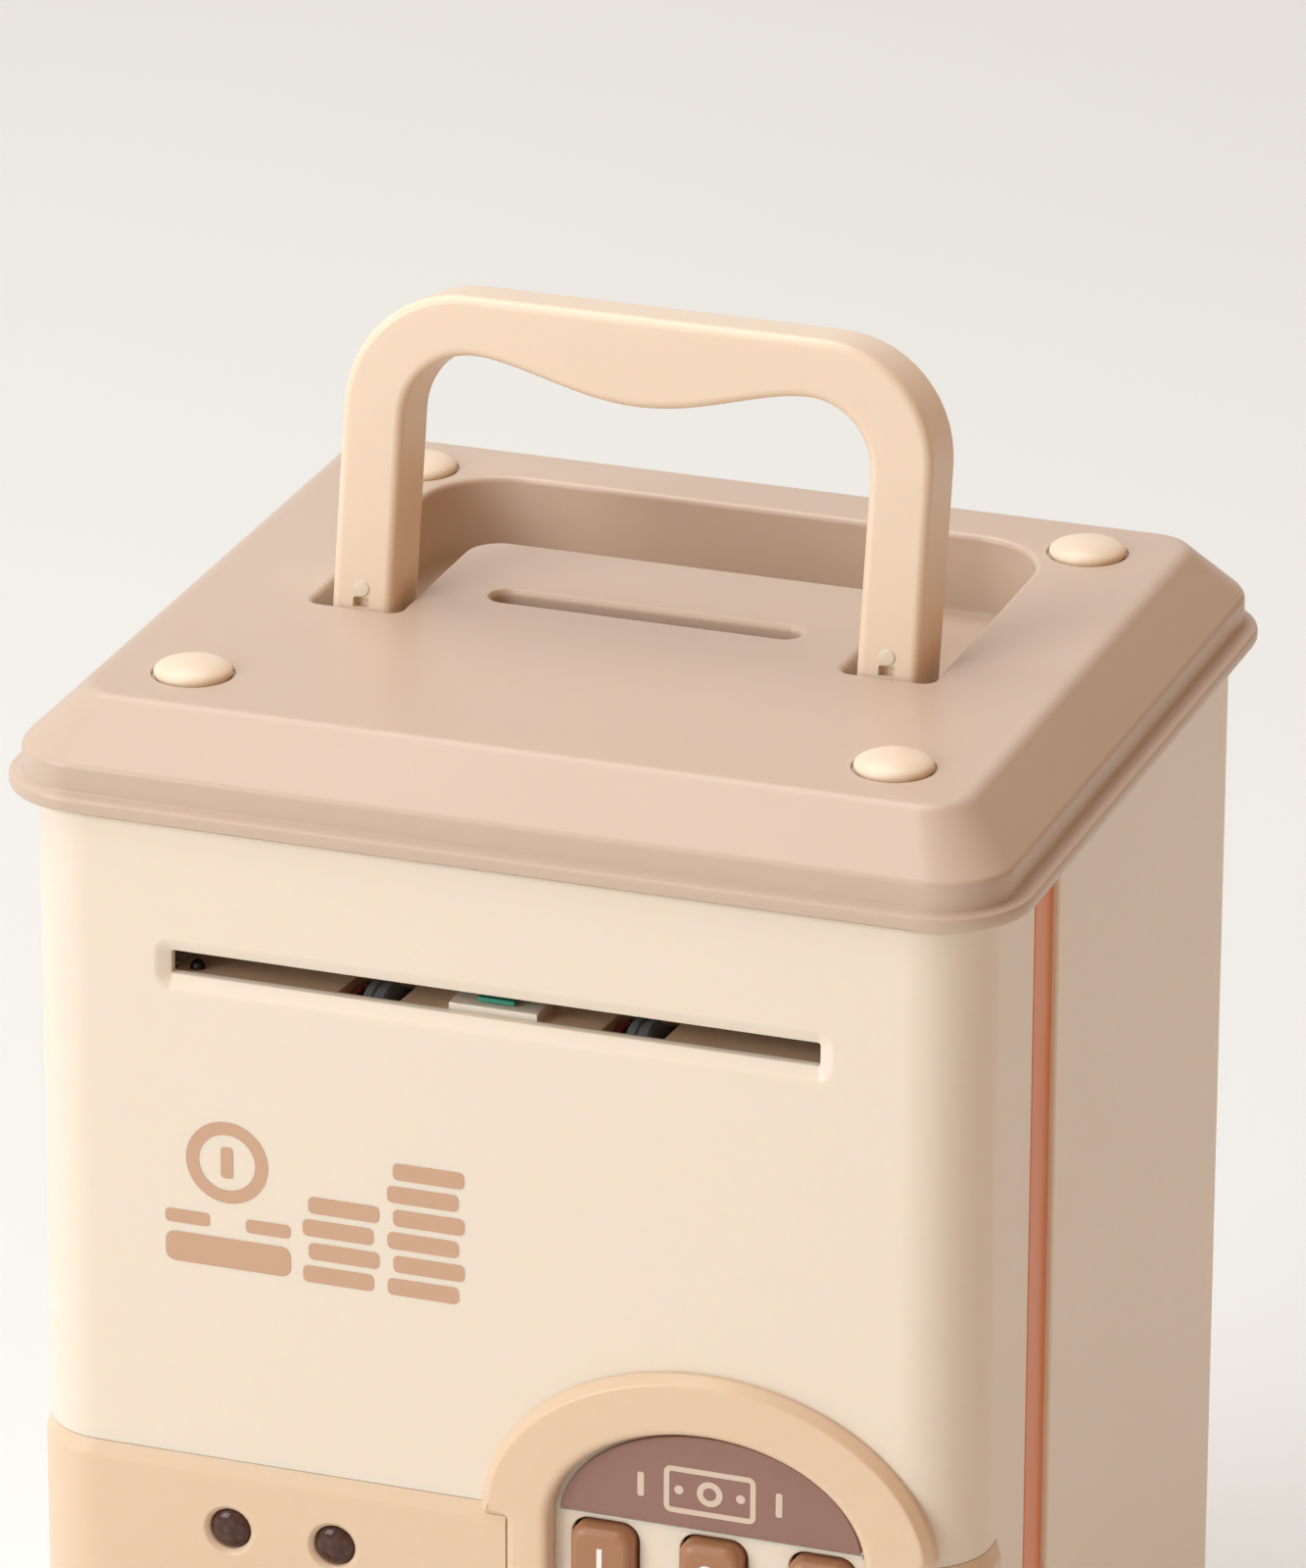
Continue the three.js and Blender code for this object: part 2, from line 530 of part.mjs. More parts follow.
function doorPanel() {
  const innerX = HALF_W - WALL;
  const shell = raiseZ(doorOutline(0, DOOR.rearY, DOOR.rearR), DOOR.z0, DOOR.z1);
  const hollow = raiseZ(
    roundRect(-innerX, innerX, -HALF_D + WALL, DOOR.rearY + 1, FRONT_R - WALL, 0),
    DOOR.z0 + WALL, DOOR.z1 - WALL,
  );
  const bossFront = DOOR.hingeY - 3.4;
  const boss = block(DOOR.bossX, innerX + 0.5, bossFront, DOOR.rearY, DOOR.z0, DOOR.z1);
  const bores = [
    bar('z', HINGE_PIN.bore, DOOR.z0 - 1, DOOR.z0 + HINGE_PIN.reach + 1, DOOR.hingeX, DOOR.hingeY),
    bar('z', HINGE_PIN.bore, DOOR.z1 - HINGE_PIN.reach - 1, DOOR.z1 + 1, DOOR.hingeX, DOOR.hingeY),
  ];
  const { x, z0, z1, lead, leadDeep } = BILL_SLOT;
  const slot = block(-x, x, -HALF_D - 1, -HALF_D + WALL + 1, z0, z1);
  const mouth = raiseY(roundRect(-x - lead, x + lead, z0 - lead * 0.8, z1 + lead * 0.7, 0.5),
    -HALF_D - 1, -HALF_D + leadDeep / 2, 2);
  const rebateFloor = FASCIA.thick + GAP;
  const rebate = cut(
    raiseZ(doorOutline(1, FASCIA.wrapY + GAP), 0, FASCIA.ledgeTop + GAP),
    [raiseZ(doorOutline(-rebateFloor, FASCIA.wrapY + 5), -1, FASCIA.ledgeTop + 2)],
  );
  const keypadHole = raiseY(windowShape(OPENING_GROW, 3), -HALF_D - 2, -HALF_D + WALL + 1, 6);
  const lampHoles = LAMP.x.map((lx) => bar('y', LAMP.hole, -HALF_D - 2, -HALF_D + WALL + 1, lx, LAMP.z));
  const knobBore = bar('y', KNOB.bore, -HALF_D - 2, -HALF_D + WALL + 1, KNOB.x, KNOB.z);
  const keepBoss = cut(join([cut(shell, [hollow]), boss]), bores);
  return cut(keepBoss, [slot, mouth, rebate, keypadHole, ...lampHoles, knobBore]);
}

function lowerFascia() {
  const out = FASCIA.proud;
  const section = (grow, z) => ({ x: HALF_W + grow, y0: -HALF_D - grow, y1: 0, r: FRONT_R + grow, z });
  const skin = loft([
    section(out, FASCIA.z0),
    section(out, FASCIA.ledgeBottom),
    section(0.05, FASCIA.ledgeTop),
  ], 6);
  const inside = raiseZ(doorOutline(-FASCIA.thick, 30), 0, LID_TOP);
  const behind = block(-80, 80, FASCIA.wrapY, 10, 0, LID_TOP);
  const around = raiseY(bezelShape(-GAP), -70, -50, 6);
  const lampHoles = LAMP.x.map((lx) => bar('y', LAMP.hole, -70, -50, lx, LAMP.z));
  const knobBore = bar('y', KNOB.bore, -70, -50, KNOB.x, KNOB.z);
  return cut(skin, [inside, behind, around, ...lampHoles, knobBore]);
}

add('door_panel', doorPanel(), 'cream');
add('lower_fascia', lowerFascia(), 'peach');
add(
  'hinge_pin_bottom',
  bar('z', PIN_R, BASE.z0 + 1 + GAP, DOOR.z0 + HINGE_PIN.reach, DOOR.hingeX, DOOR.hingeY), 'steel', 0.3, 1,
);
add(
  'hinge_pin_top',
  bar('z', PIN_R, DOOR.z1 - HINGE_PIN.reach, HINGE_PIN.top, DOOR.hingeX, DOOR.hingeY), 'steel', 0.3, 1,
);

// ---------------------------------------------------------------- keypad: bezel, deck, label, keys

function keypadBezel() {
  const flatBack = -HALF_D - GAP;
  const plate = raiseY(bezelShape(0), flatBack - 0.6, flatBack, 6);
  const face = raiseY(bezelShape(BEZEL.chamfer), BEZEL.frontY, flatBack - 0.3, 6);
  const collar = raiseY(windowShape(BEZEL.collar, 3), BEZEL.frontY + 0.5, BEZEL.rearY, 6);
  const window = raiseY(windowShape(0, 2), -70, -50, 6);
  return cut(join([plate, face, collar]), [window]);
}

function keyPlaces() {
  const names = ['1', '2', '3', '4', '5', '6', '7', '8', '9', 'star', '0', 'hash'];
  return names.map((name, i) => [
    name, KEY.x + ((i % 3) - 1) * KEY.pitchX, KEY.topRowZ - Math.floor(i / 3) * KEY.pitchZ,
  ]);
}

function keyRect(x, z, grow, r) {
  const [halfW, halfH] = [KEY.w / 2 + grow, KEY.h / 2 + grow];
  return roundRect(x - halfW, x + halfW, z - halfH, z + halfH, r);
}

function keyDeck() {
  const plate = raiseY(windowShape(BEZEL.collar, 3), DECK.frontY, DECK.frontY + DECK.thick, 6);
  const holes = keyPlaces().map(([, x, z]) => raiseY(keyRect(x, z, KEY.holeGap, KEY.r), -60, -50, 1));
  return cut(plate, holes);
}

function labelPlate() {
  const { inset, base, thick } = LABEL;
  const [rx, rz] = [BEZEL.innerX - inset, BEZEL.innerZ - inset];
  const a = Math.asin((base - ARCH.z) / rz);
  const shape = new THREE.Shape();
  shape.absellipse(ARCH.x, ARCH.z, rx, rz, a, Math.PI - a);
  shape.closePath();
  return raiseY(shape, DECK.frontY - GAP - thick, DECK.frontY - GAP, 6);
}

function keyCap(x, z) {
  const rear = DECK.frontY + DECK.thick + GAP;
  const { edge, frontY } = KEY;
  const stem = raiseY(keyRect(x, z, 0, KEY.r), frontY + edge, rear + 0.4, 1);
  const crown = raiseY(keyRect(x, z, -edge, KEY.r - edge), frontY, frontY + edge + 0.2, 1);
  const [halfW, halfH] = [KEY.w / 2 + KEY.flange, KEY.h / 2 + KEY.flange];
  const flange = block(x - halfW, x + halfW, rear, rear + KEY.flangeThick, z - halfH, z + halfH);
  return join([stem, crown, flange]);
}

function lampLens(x) {
  const { r, rimR } = LAMP;
  const rimThick = 1;
  const seat = HALF_D - WALL - GAP;
  const rise = HALF_D + FASCIA.proud + LAMP.proud - seat;
  const profile = [
    [0, 0], [rimR, 0], [rimR, rimThick], [r, rimThick + 0.2], [r, rise + 0.2], [r * 0.7, rise + 0.9],
    [0, rise + 1.2],
  ];
  return turnedY(profile, x, -seat + rimThick + 0.2, LAMP.z, 16);
}

add('keypad_bezel', keypadBezel(), 'peach');
add('key_deck', keyDeck(), 'cream');
add('label_plate', labelPlate(), 'mauve', 0.5);
for (const [name, x, z] of keyPlaces()) {
  add(`key_${name}`, keyCap(x, z), 'brownKey');
}
const matOutline = roundRect(BOARD.x0 + 1, BOARD.x1 - 1, BOARD.z0 + 1, BOARD.z1 - 0.5, 2);
add('key_mat', raiseY(matOutline, MAT.frontY, MAT.frontY + MAT.thick, 2), 'rubber', 0.9);
add(
  'keypad_board',
  raiseY(roundRect(BOARD.x0, BOARD.x1, BOARD.z0, BOARD.z1, 1.5), BOARD.frontY, BOARD.frontY + BOARD.thick, 2),
  'board', 0.4,
);
LAMP.x.forEach((x, i) => add(`lamp_lens_${i ? 'right' : 'left'}`, lampLens(x), 'lens', 0.1));

// ---------------------------------------------------------------- lock: knob, cam, disc, solenoid

function knobSolid() {
  const { x, z, r, edge, backY, gripHalf, shaftR } = KNOB;
  const rise = backY - KNOB.frontY;
  const shaftEnd = CAM.frontY - CAM.pinOver - backY;
  const tip = CAM.frontY + CAM.thick + CAM.pinOver - backY;
  const profile = [
    [0, -tip], [CAM.pinR, -tip], [CAM.pinR, -shaftEnd], [shaftR, -shaftEnd], [shaftR, 0], [r, 0],
    [r, rise - edge], [r - edge, rise], [0, rise],
  ];
  const reach = r - KNOB.gripEnd;
  const grip = raiseY(
    roundRect(x - gripHalf, x + gripHalf, z - reach, z + reach, gripHalf - 0.1),
    KNOB.gripY, KNOB.frontY + 1, 3,
  );
  return join([turnedY(profile, x, backY, z, 32), grip]);
}

// Cam that hooks behind the strike: its arm points up when the lock is open.
function latchCam() {
  const { frontY, thick, hubR, reach, half } = CAM;
  const hub = bar('y', hubR, frontY, frontY + thick, KNOB.x, KNOB.z, 24);
  const armOutline = roundRect(KNOB.x - half, KNOB.x + half, KNOB.z, KNOB.z + reach, 0, 2);
  const arm = raiseY(armOutline, frontY, frontY + thick, 2);
  const bore = bar('y', CAM.pinR + GAP, -40, -10, KNOB.x, KNOB.z);
  return cut(join([hub, arm]), [bore]);
}

// Disc that the plunger drops into at both ends of the knob's turn.
function lockDisc() {
  const { frontY, thick, r, notch } = LOCK_DISC;
  const y1 = frontY + thick;
  const disc = bar('y', r, frontY, y1, KNOB.x, KNOB.z, 28);
  const half = notch / 2 + 0.3;
  const notches = [
    block(KNOB.x + r - notch, KNOB.x + r + 1, frontY - 1, y1 + 1, KNOB.z - half, KNOB.z + half),
    block(KNOB.x - half, KNOB.x + half, frontY - 1, y1 + 1, KNOB.z - r - 1, KNOB.z - r + notch),
  ];
  return cut(disc, [...notches, bar('y', KNOB.shaftR + GAP, -50, -10, KNOB.x, KNOB.z)]);
}

add('lock_knob', knobSolid(), 'taupe');
add('latch_cam', latchCam(), 'steel', 0.3, 1);
add('lock_disc', lockDisc(), 'white', 0.5);
add(
  'lock_solenoid',
  cut(
    block(SOLENOID.x0, SOLENOID.x1, SOLENOID.y0, SOLENOID.y1, SOLENOID.z0, SOLENOID.z1),
    [bar('x', SOLENOID.bore, SOLENOID.x0 - 1, SOLENOID.boreEnd, PLUNGER.y, KNOB.z)],
  ),
  'steel', 0.4, 1,
);
const plungerEnd = PLUNGER.tip + PLUNGER.length;
add('lock_plunger', bar('x', PLUNGER.r, PLUNGER.tip, plungerEnd, PLUNGER.y, KNOB.z), 'steel', 0.2, 1);

// ---------------------------------------------------------------- banknote feed

function rampLine(y) {
  const frontY = -HALF_D + WALL + GAP;
  return RAMP.frontZ + ((y - frontY) / (RAMP.rearY - frontY)) * (RAMP.rearZ - RAMP.frontZ);
}

function billRamp() {
  const y0 = -HALF_D + WALL + GAP;
  const y1 = RAMP.rearY;
  const sheet = raiseX(polygon([
    [y0, rampLine(y0)], [y0, rampLine(y0) - RAMP.thick], [y1, rampLine(y1) - RAMP.thick], [y1, rampLine(y1)],
  ]), -RAMP.x, RAMP.x);
  const rise = block(
    RISE.x0, RISE.x1, y0, y0 + RISE.deep, RAMP.frontZ - RISE.below, RAMP.frontZ + RISE.above,
  );
  const { earThick, earHalf, windowFront, windowRear, windowHalf } = RAMP;
  const earTop = rampLine(ROLLER.y) - 1;
  const ears = RAMP.ears.map((x) => (
    block(x, x + earThick, ROLLER.y - earHalf, ROLLER.y + earHalf, ROLLER.z - earHalf, earTop)
  ));
  const windows = [-1, 1].map((side) => {
    const x = side * RAMP.windowX;
    return block(x - windowHalf, x + windowHalf, y0 + windowFront, windowRear, 140, 160);
  });
  const shaftBore = bar('x', ROLLER.shaftR + RAMP.shaftGap, -80, 80, ROLLER.y, ROLLER.z, 12);
  return cut(join([sheet, rise, ...ears]), [...windows, shaftBore]);
}

// Gear centres: the idler hangs below the roller gear, the motor pinion below the idler.
function gearTrain() {
  const { module: m, pinion, idler, roller } = GEAR;
  const upper = ((idler + roller) * m) / 2 + 0.05;
  const lower = ((idler + pinion) * m) / 2 + 0.05;
  const idlerZ = ROLLER.z - Math.sqrt(upper ** 2 - (IDLER_Y - ROLLER.y) ** 2);
  const pinionZ = idlerZ - Math.sqrt(lower ** 2 - (PINION_Y - IDLER_Y) ** 2);
  const toIdler = Math.atan2(idlerZ - pinionZ, IDLER_Y - PINION_Y);
  const toRoller = Math.atan2(ROLLER.z - idlerZ, ROLLER.y - IDLER_Y);
  const idlerPhase = meshPhase(0, pinion, idler, toIdler);
  return { idlerZ, pinionZ, idlerPhase, rollerPhase: meshPhase(idlerPhase, idler, roller, toRoller) };
}

const train = gearTrain();
const [gearA, gearB] = [GEAR.x, GEAR.x + GEAR.face];
add('bill_ramp', billRamp(), 'peach', 0.4);
const sensorZ = RAMP.frontZ + RISE.above + GAP;
add(
  'note_sensor',
  block(SENSOR.x0, SENSOR.x1, SENSOR.y0, SENSOR.y1, sensorZ, sensorZ + SENSOR.thick),
  'board', 0.3,
);
add(
  'drive_gear',
  raiseX(gearShape(GEAR.roller, ROLLER.y, ROLLER.z, train.rollerPhase, ROLLER.shaftR + GAP), gearA, gearB, 5),
  'white', 0.5,
);
add(
  'idler_gear',
  raiseX(gearShape(GEAR.idler, IDLER_Y, train.idlerZ, train.idlerPhase, PIN_R + GAP), gearA, gearB, 5),
  'white', 0.5,
);
add('idler_pin', bar('x', PIN_R, gearA - 4, gearB + 4, IDLER_Y, train.idlerZ, 12), 'steel', 0.3, 1);
add(
  'motor_pinion',
  join([
    raiseX(gearShape(GEAR.pinion, PINION_Y, train.pinionZ, 0, 0), gearA, gearB),
    bar('x', MOTOR.shaftR, gearB - 1, MOTOR.x0 + MOTOR.shaftDeep, PINION_Y, train.pinionZ, 10),
  ]),
  'brass', 0.35, 1,
);
add(
  'feed_motor',
  cut(
    bar('x', MOTOR.r, MOTOR.x0, MOTOR.x1, PINION_Y, train.pinionZ, 20),
    [bar('x', MOTOR.bore, MOTOR.x0 - 1, MOTOR.x0 + MOTOR.shaftDeep + 1, PINION_Y, train.pinionZ, 10)],
  ),
  'steel', 0.35, 1,
);
add('roller_shaft', bar('x', ROLLER.shaftR, gearA - 2.5, 30, ROLLER.y, ROLLER.z, 10), 'steel', 0.25, 1);
for (const [name, x] of [['feed_roller_left', -RAMP.windowX], ['feed_roller_right', RAMP.windowX]]) {
  const tyre = cut(
    bar('x', ROLLER.r, x - ROLLER.w / 2, x + ROLLER.w / 2, ROLLER.y, ROLLER.z, 24),
    [bar('x', ROLLER.shaftR + GAP, x - 9, x + 9, ROLLER.y, ROLLER.z, 10)],
  );
  add(name, tyre, 'rubber', 0.8);
}

// ---------------------------------------------------------------- door liner, battery bay and cells

function doorLiner() {
  const x = HALF_W - WALL - LINER.inset;
  const [y0, y1] = [DOOR.rearY - LINER.thick, DOOR.rearY];
  const [z0, z1] = [DOOR.z0 + WALL + LINER.inset, DOOR.z1 - WALL - LINER.inset];
  const sheet = raiseY(roundRect(-x, DOOR.bossX - GAP, z0, z1, 2), y0, y1, 2);
  const tub = block(
    -BAY.x - BAY.wall, BAY.x + BAY.wall, BAY.frontY - BAY.wall, y1 - 0.5,
    BAY.z0 - BAY.wall, BAY.z1 + BAY.wall,
  );
  const bay = block(-BAY.x, BAY.x, BAY.frontY, y1 + 1, BAY.z0, BAY.z1);
  const exit = block(-43, 43, y0 - 1, y1 + 1, RAMP.rearZ - 5, RAMP.rearZ + 2.5);
  const shaftBore = bar('y', KNOB.shaftR + 0.35, y0 - 1, y1 + 1, KNOB.x, KNOB.z);
  return cut(join([sheet, tub]), [bay, exit, shaftBore]);
}

function batteryCell(z) {
  const half = CELL.length / 2;
  const can = bar('x', CELL.r, -half, half - CELL.nub, CELL.y, z, 20);
  const nub = bar('x', CELL.nubR, half - CELL.nub - 0.5, half, CELL.y, z, 12);
  return join([can, nub]);
}

add('door_liner', doorLiner(), 'white', 0.5);
for (let i = 0; i < CELL.count; i += 1) {
  add(`battery_${i + 1}`, batteryCell(CELL.z + (i - 1) * CELL.pitch), 'cell', 0.35, 0.4);
}
add(
  'battery_cover',
  block(-BAY.x + GAP, BAY.x - GAP, DOOR.rearY - LINER.thick + 0.2, DOOR.rearY, BAY.z0 + GAP, BAY.z1 - GAP),
  'white', 0.5,
);

export default atm;
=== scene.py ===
import math

import bmesh
import bpy
from mathutils import Euler, Matrix, Vector


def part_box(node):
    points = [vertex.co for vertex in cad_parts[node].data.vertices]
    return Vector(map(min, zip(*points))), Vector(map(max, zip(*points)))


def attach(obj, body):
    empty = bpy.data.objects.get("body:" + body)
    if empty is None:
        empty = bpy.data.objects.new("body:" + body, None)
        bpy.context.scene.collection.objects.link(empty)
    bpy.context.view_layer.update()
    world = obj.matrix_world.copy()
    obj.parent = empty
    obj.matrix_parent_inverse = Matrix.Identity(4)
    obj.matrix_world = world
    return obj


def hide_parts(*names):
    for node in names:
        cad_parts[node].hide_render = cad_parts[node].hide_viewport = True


# Toy cash-machine savings bank: a cream case with a taupe coin lid and folding carry handle, and a
# side-hinged door that holds a banknote slot, a keypad, two lamps and a turn-knob lock.
# Lengths below are millimetres and are turned into metres when a mesh is made.

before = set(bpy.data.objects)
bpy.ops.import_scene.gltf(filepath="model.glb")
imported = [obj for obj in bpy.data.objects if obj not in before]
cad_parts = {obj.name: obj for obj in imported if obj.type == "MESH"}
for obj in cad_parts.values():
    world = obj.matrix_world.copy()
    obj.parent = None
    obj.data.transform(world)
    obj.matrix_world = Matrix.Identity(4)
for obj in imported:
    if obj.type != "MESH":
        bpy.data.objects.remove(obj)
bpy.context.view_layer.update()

MM = 0.001
ARC = 10                                     # steps in a quarter turn of a visible corner


def box_mm(node):
    low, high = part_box(node)
    return low / MM, high / MM


# ---------------------------------------------------------------- driving sizes

LID_LOW, LID_HIGH = box_mm("lid")
DOOR_LOW, DOOR_HIGH = box_mm("door_panel")
CASE_LOW, CASE_HIGH = box_mm("case_shell")
LID_TOP = LID_HIGH.z
FRONT = -DOOR_LOW.y                          # distance of the door's face in front of y = 0
WALL = 2.2

FLANGE_R = 12
SKIRT = {"in_x": 2.1, "in_front": 1.5, "in_rear": 1.4, "r": 9.5}
PLATE = {"in_x": 9.3, "in_front": 9.4, "in_rear": 8.0, "r": 5.5}
LID_THICK = 2.1
RECESS = {"x": 42.9, "front": -4.9, "rear": 48.4, "rear_r": 11, "front_r": 1.6, "depth": 11.2}
TONGUE = {"x": 30.5, "rear": 24.8, "r": 5}
TUB_WALL = 1.8
COIN_SLOT = {"x": 21.4, "y": 6.1, "half": 2.2, "collar": 1.5}
CAP_SEAT = {"r": 5.45, "deep": 0.5}

DOOR_R = 9.7
DOOR_REAR_R = 1.5
BACK_R = 8.2
BILL_SLOT = {"x": 43.9, "low": 155.5, "high": 158.6}
FASCIA = {"proud": 0.7, "inner": -0.9, "top": 87.9, "ledge": 85.8, "rear": -40.5, "gap": 0.3}
ARCH = {"x": 29.9, "z": 87.3}
BEZEL = {"rx": 31, "rz": 23.6, "x0": 2.4, "x1": 58.9, "bottom": 33.6, "left_ear": 86.6, "right_ear": 89.4,
         "corner": 8}
WINDOW = {"rx": 21.4, "rz": 15.2, "bottom": 38.4}
KEY = {"w": 8.5, "h": 9.0, "r": 2.0, "hole": 0.35}
LABEL = {"inset": 0.8, "base": 88.7}
KEY_NAMES = ["1", "2", "3", "4", "5", "6", "7", "8", "9", "star", "0", "hash"]
LAMP_HOLE = 2.85
KNOB_BORE = 4.35

HANDLE = {"pivot_y": 1.05, "pivot_z": 184.6, "lean": 10, "outer": 40.5, "inner": 32.0, "half": 5.23,
          "top": 46.7, "outer_r": 16, "inner_r": 9, "inner_top": 38.85, "swell": 4.05, "swell_half": 22.5}
KNOB = {"x": -36.0, "z": 48.0, "r": 16.6, "back": 53.5, "face": 62.0, "grip": 66.0}
PIN_BORE = 1.85
HINGE = {"x": 61.0, "y": -31.3, "reach": 10.0, "boss_x": 57.6, "boss_half": 3.4}
CASE_FRONT, CASE_WALL_TOP = -18.2, 174.6     # front edge and top of the case's walls behind the lips
RAMP_BLOCK = {"x": -0.5, "half": 6.2, "rear": -44.0}
RAMP_SCREW = (-42.0, -47.2, 154.9)
WIRE_RUN = {"left": -21.4, "right": 14.5, "liner": -36.0, "rear": -40.2, "near": -47.6, "top": 152.9,
            "end": 144.0, "under": 142.6}
SLEEVE_BAND, SLEEVE_END = 13.0, 22.2         # where a cell's pale band and its bare steel begin


# ---------------------------------------------------------------- outlines

def rounded(corners, steps=ARC):
    """Closed outline through (u, v, radius) corners, listed counter-clockwise."""
    points = []
    for i, (u, v, r) in enumerate(corners):
        here = Vector((u, v))
        if r <= 0:
            points.append((u, v))
            continue
        before = (Vector(corners[i - 1][:2]) - here).normalized()
        after = (Vector(corners[(i + 1) % len(corners)][:2]) - here).normalized()
        half = math.acos(max(-1.0, min(1.0, before.dot(after)))) / 2
        centre = here + (before + after).normalized() * (r / math.sin(half))
        start = here + before * (r / math.tan(half)) - centre
        end = here + after * (r / math.tan(half)) - centre
        first = math.atan2(start.y, start.x)
        sweep = math.atan2(start.x * end.y - start.y * end.x, start.dot(end))
        for k in range(steps + 1):
            a = first + sweep * k / steps
            points.append((centre.x + r * math.cos(a), centre.y + r * math.sin(a)))
    return points


def rectangle(u0, u1, v0, v1, r_low, r_high=None, steps=ARC):
    r_high = r_low if r_high is None else r_high
    return rounded([(u0, v0, r_low), (u1, v0, r_low), (u1, v1, r_high), (u0, v1, r_high)], steps)


def circle(u, v, r, sides=48):
    turn = 2 * math.pi / sides
    return [(u + r * math.cos(turn * k), v + r * math.sin(turn * k)) for k in range(sides)]


def offset(points, grow):
    """The closed outline moved outwards by grow, point by point."""
    if grow == 0:
        return points
    moved = []
    for i, point in enumerate(points):
        here = Vector(point)
        a = (here - Vector(points[i - 1])).normalized()
        b = (Vector(points[(i + 1) % len(points)]) - here).normalized()
        normals = Vector((a.y + b.y, -a.x - b.x))
        moved.append(tuple(here + normals * (grow / (1 + a.dot(b)))))
    return moved


def bow(rx, rz, start, end, steps=44):
    """Points along an ellipse about the keypad's centre."""
    turns = [start + (end - start) * k / steps for k in range(steps + 1)]
    return [(ARCH["x"] + rx * math.cos(a), ARCH["z"] + rz * math.sin(a), 0) for a in turns]


def window(grow, corner):
    """The keypad window: straight sides, a flat bottom and a half ellipse on top."""
    half, bottom = WINDOW["rx"] + grow, WINDOW["bottom"] - grow
    return rounded([(ARCH["x"] - half, bottom, corner), (ARCH["x"] + half, bottom, corner),
                    *bow(half, WINDOW["rz"] + grow, 0, math.pi)], 6)


def bezel_outline():
    """The wide arch whose two ears overhang narrower sides."""
    b, rx, rz = BEZEL, BEZEL["rx"], BEZEL["rz"]
    left = math.pi - math.asin((b["left_ear"] - ARCH["z"]) / rz)
    right = math.asin((b["right_ear"] - ARCH["z"]) / rz)
    clear = 0.1
    tips = [bow(rx, rz, angle, angle, 1)[0][:2] for angle in (right, left)]
    return rounded([
        (b["x0"], b["left_ear"], 0.5), (b["x0"], b["bottom"], b["corner"]),
        (b["x1"], b["bottom"], b["corner"]), (b["x1"], b["right_ear"] - 1.6, 0.6),
        (*tips[0], 1.2), *bow(rx, rz, right + clear, left - clear), (*tips[1], 1.0),
    ], 8)


def label_outline():
    rx, rz = WINDOW["rx"] - LABEL["inset"], WINDOW["rz"] - LABEL["inset"]
    start = math.asin((LABEL["base"] - ARCH["z"]) / rz)
    arc = bow(rx, rz, start, math.pi - start, 40)
    arc[0], arc[-1] = (*arc[0][:2], 0.25), (*arc[-1][:2], 0.25)
    return rounded(arc, 4)


def door_wrap(out, inner, rear):
    """A skin that wraps the door's front and both corners, as one closed outline seen from above."""
    x, front = DOOR_HIGH.x, -FRONT
    return rounded([
        (-x - out, rear, 0), (-x - out, front - out, DOOR_R + out), (x + out, front - out, DOOR_R + out),
        (x + out, rear, 0), (x + inner, rear, 0), (x + inner, front - inner, DOOR_R + inner),
        (-x - inner, front - inner, DOOR_R + inner), (-x - inner, rear, 0),
    ])


# ---------------------------------------------------------------- building meshes

def on_top(u, v, h):
    return Vector((u, v, h)) * MM


def on_front(u, v, h):
    return Vector((u, -h, v)) * MM


def on_side(u, v, h):
    return Vector((h, u, v)) * MM


class Form:
    """Closed surfaces made of rings with equal counts and flat faces that close or join the rings."""

    def __init__(self, place):
        self.bm = bmesh.new()
        self.place = place

    def ring(self, points, h):
        return [self.bm.verts.new(self.place(u, v, h)) for u, v in points]

    def skin(self, rings):
        for low, high in zip(rings, rings[1:]):
            for i in range(len(low)):
                self.bm.faces.new((low[i - 1], low[i], high[i], high[i - 1]))

    def wall(self, outline, steps):
        """A wall along an outline: steps are (outward offset, height). Returns its two end rings."""
        rings = [self.ring(offset(outline, grow), h) for grow, h in steps]
        self.skin(rings)
        return rings[0], rings[-1]

    def solid(self, outline, steps):
        """A wall closed with a flat face at both ends."""
        for ring in self.wall(outline, steps):
            self.bm.faces.new(ring)

    def turned(self, u, v, profile, sides=48):
        """A solid of revolution: profile is (radius, height), closed at both ends."""
        rings = [self.ring(circle(u, v, r, sides), h) for r, h in profile]
        self.skin(rings)
        self.bm.faces.new(rings[0])
        self.bm.faces.new(rings[-1])

    def flat(self, *rings):
        edges = []
        for ring in rings:
            for i in range(len(ring)):
                pair = (ring[i - 1], ring[i])
                edges.append(self.bm.edges.get(pair) or self.bm.edges.new(pair))
        bmesh.ops.triangle_fill(self.bm, use_beauty=True, use_dissolve=False, edges=edges)

    def mesh(self, name):
        bmesh.ops.remove_doubles(self.bm, verts=self.bm.verts, dist=1e-7)
        bmesh.ops.recalc_face_normals(self.bm, faces=self.bm.faces)
        mesh = bpy.data.meshes.new(name)
        self.bm.to_mesh(mesh)
        self.bm.free()
        return mesh

    def piece(self, name, finish, sharp=32):
        return new_piece(name, self.mesh(name), finish, sharp)


def new_piece(name, mesh, finish, sharp=32):
    piece = bpy.data.objects.new(name, mesh)
    bpy.context.scene.collection.objects.link(piece)
    mesh.materials.clear()
    mesh.materials.append(finish)
    shade(piece, sharp)
    return piece


def shade(piece, sharp=32):
    piece.data.shade_smooth()
    piece.data.set_sharp_from_angle(angle=math.radians(sharp))
    if "weights" not in piece.modifiers:
        weights = piece.modifiers.new("weights", "WEIGHTED_NORMAL")
        weights.keep_sharp = True


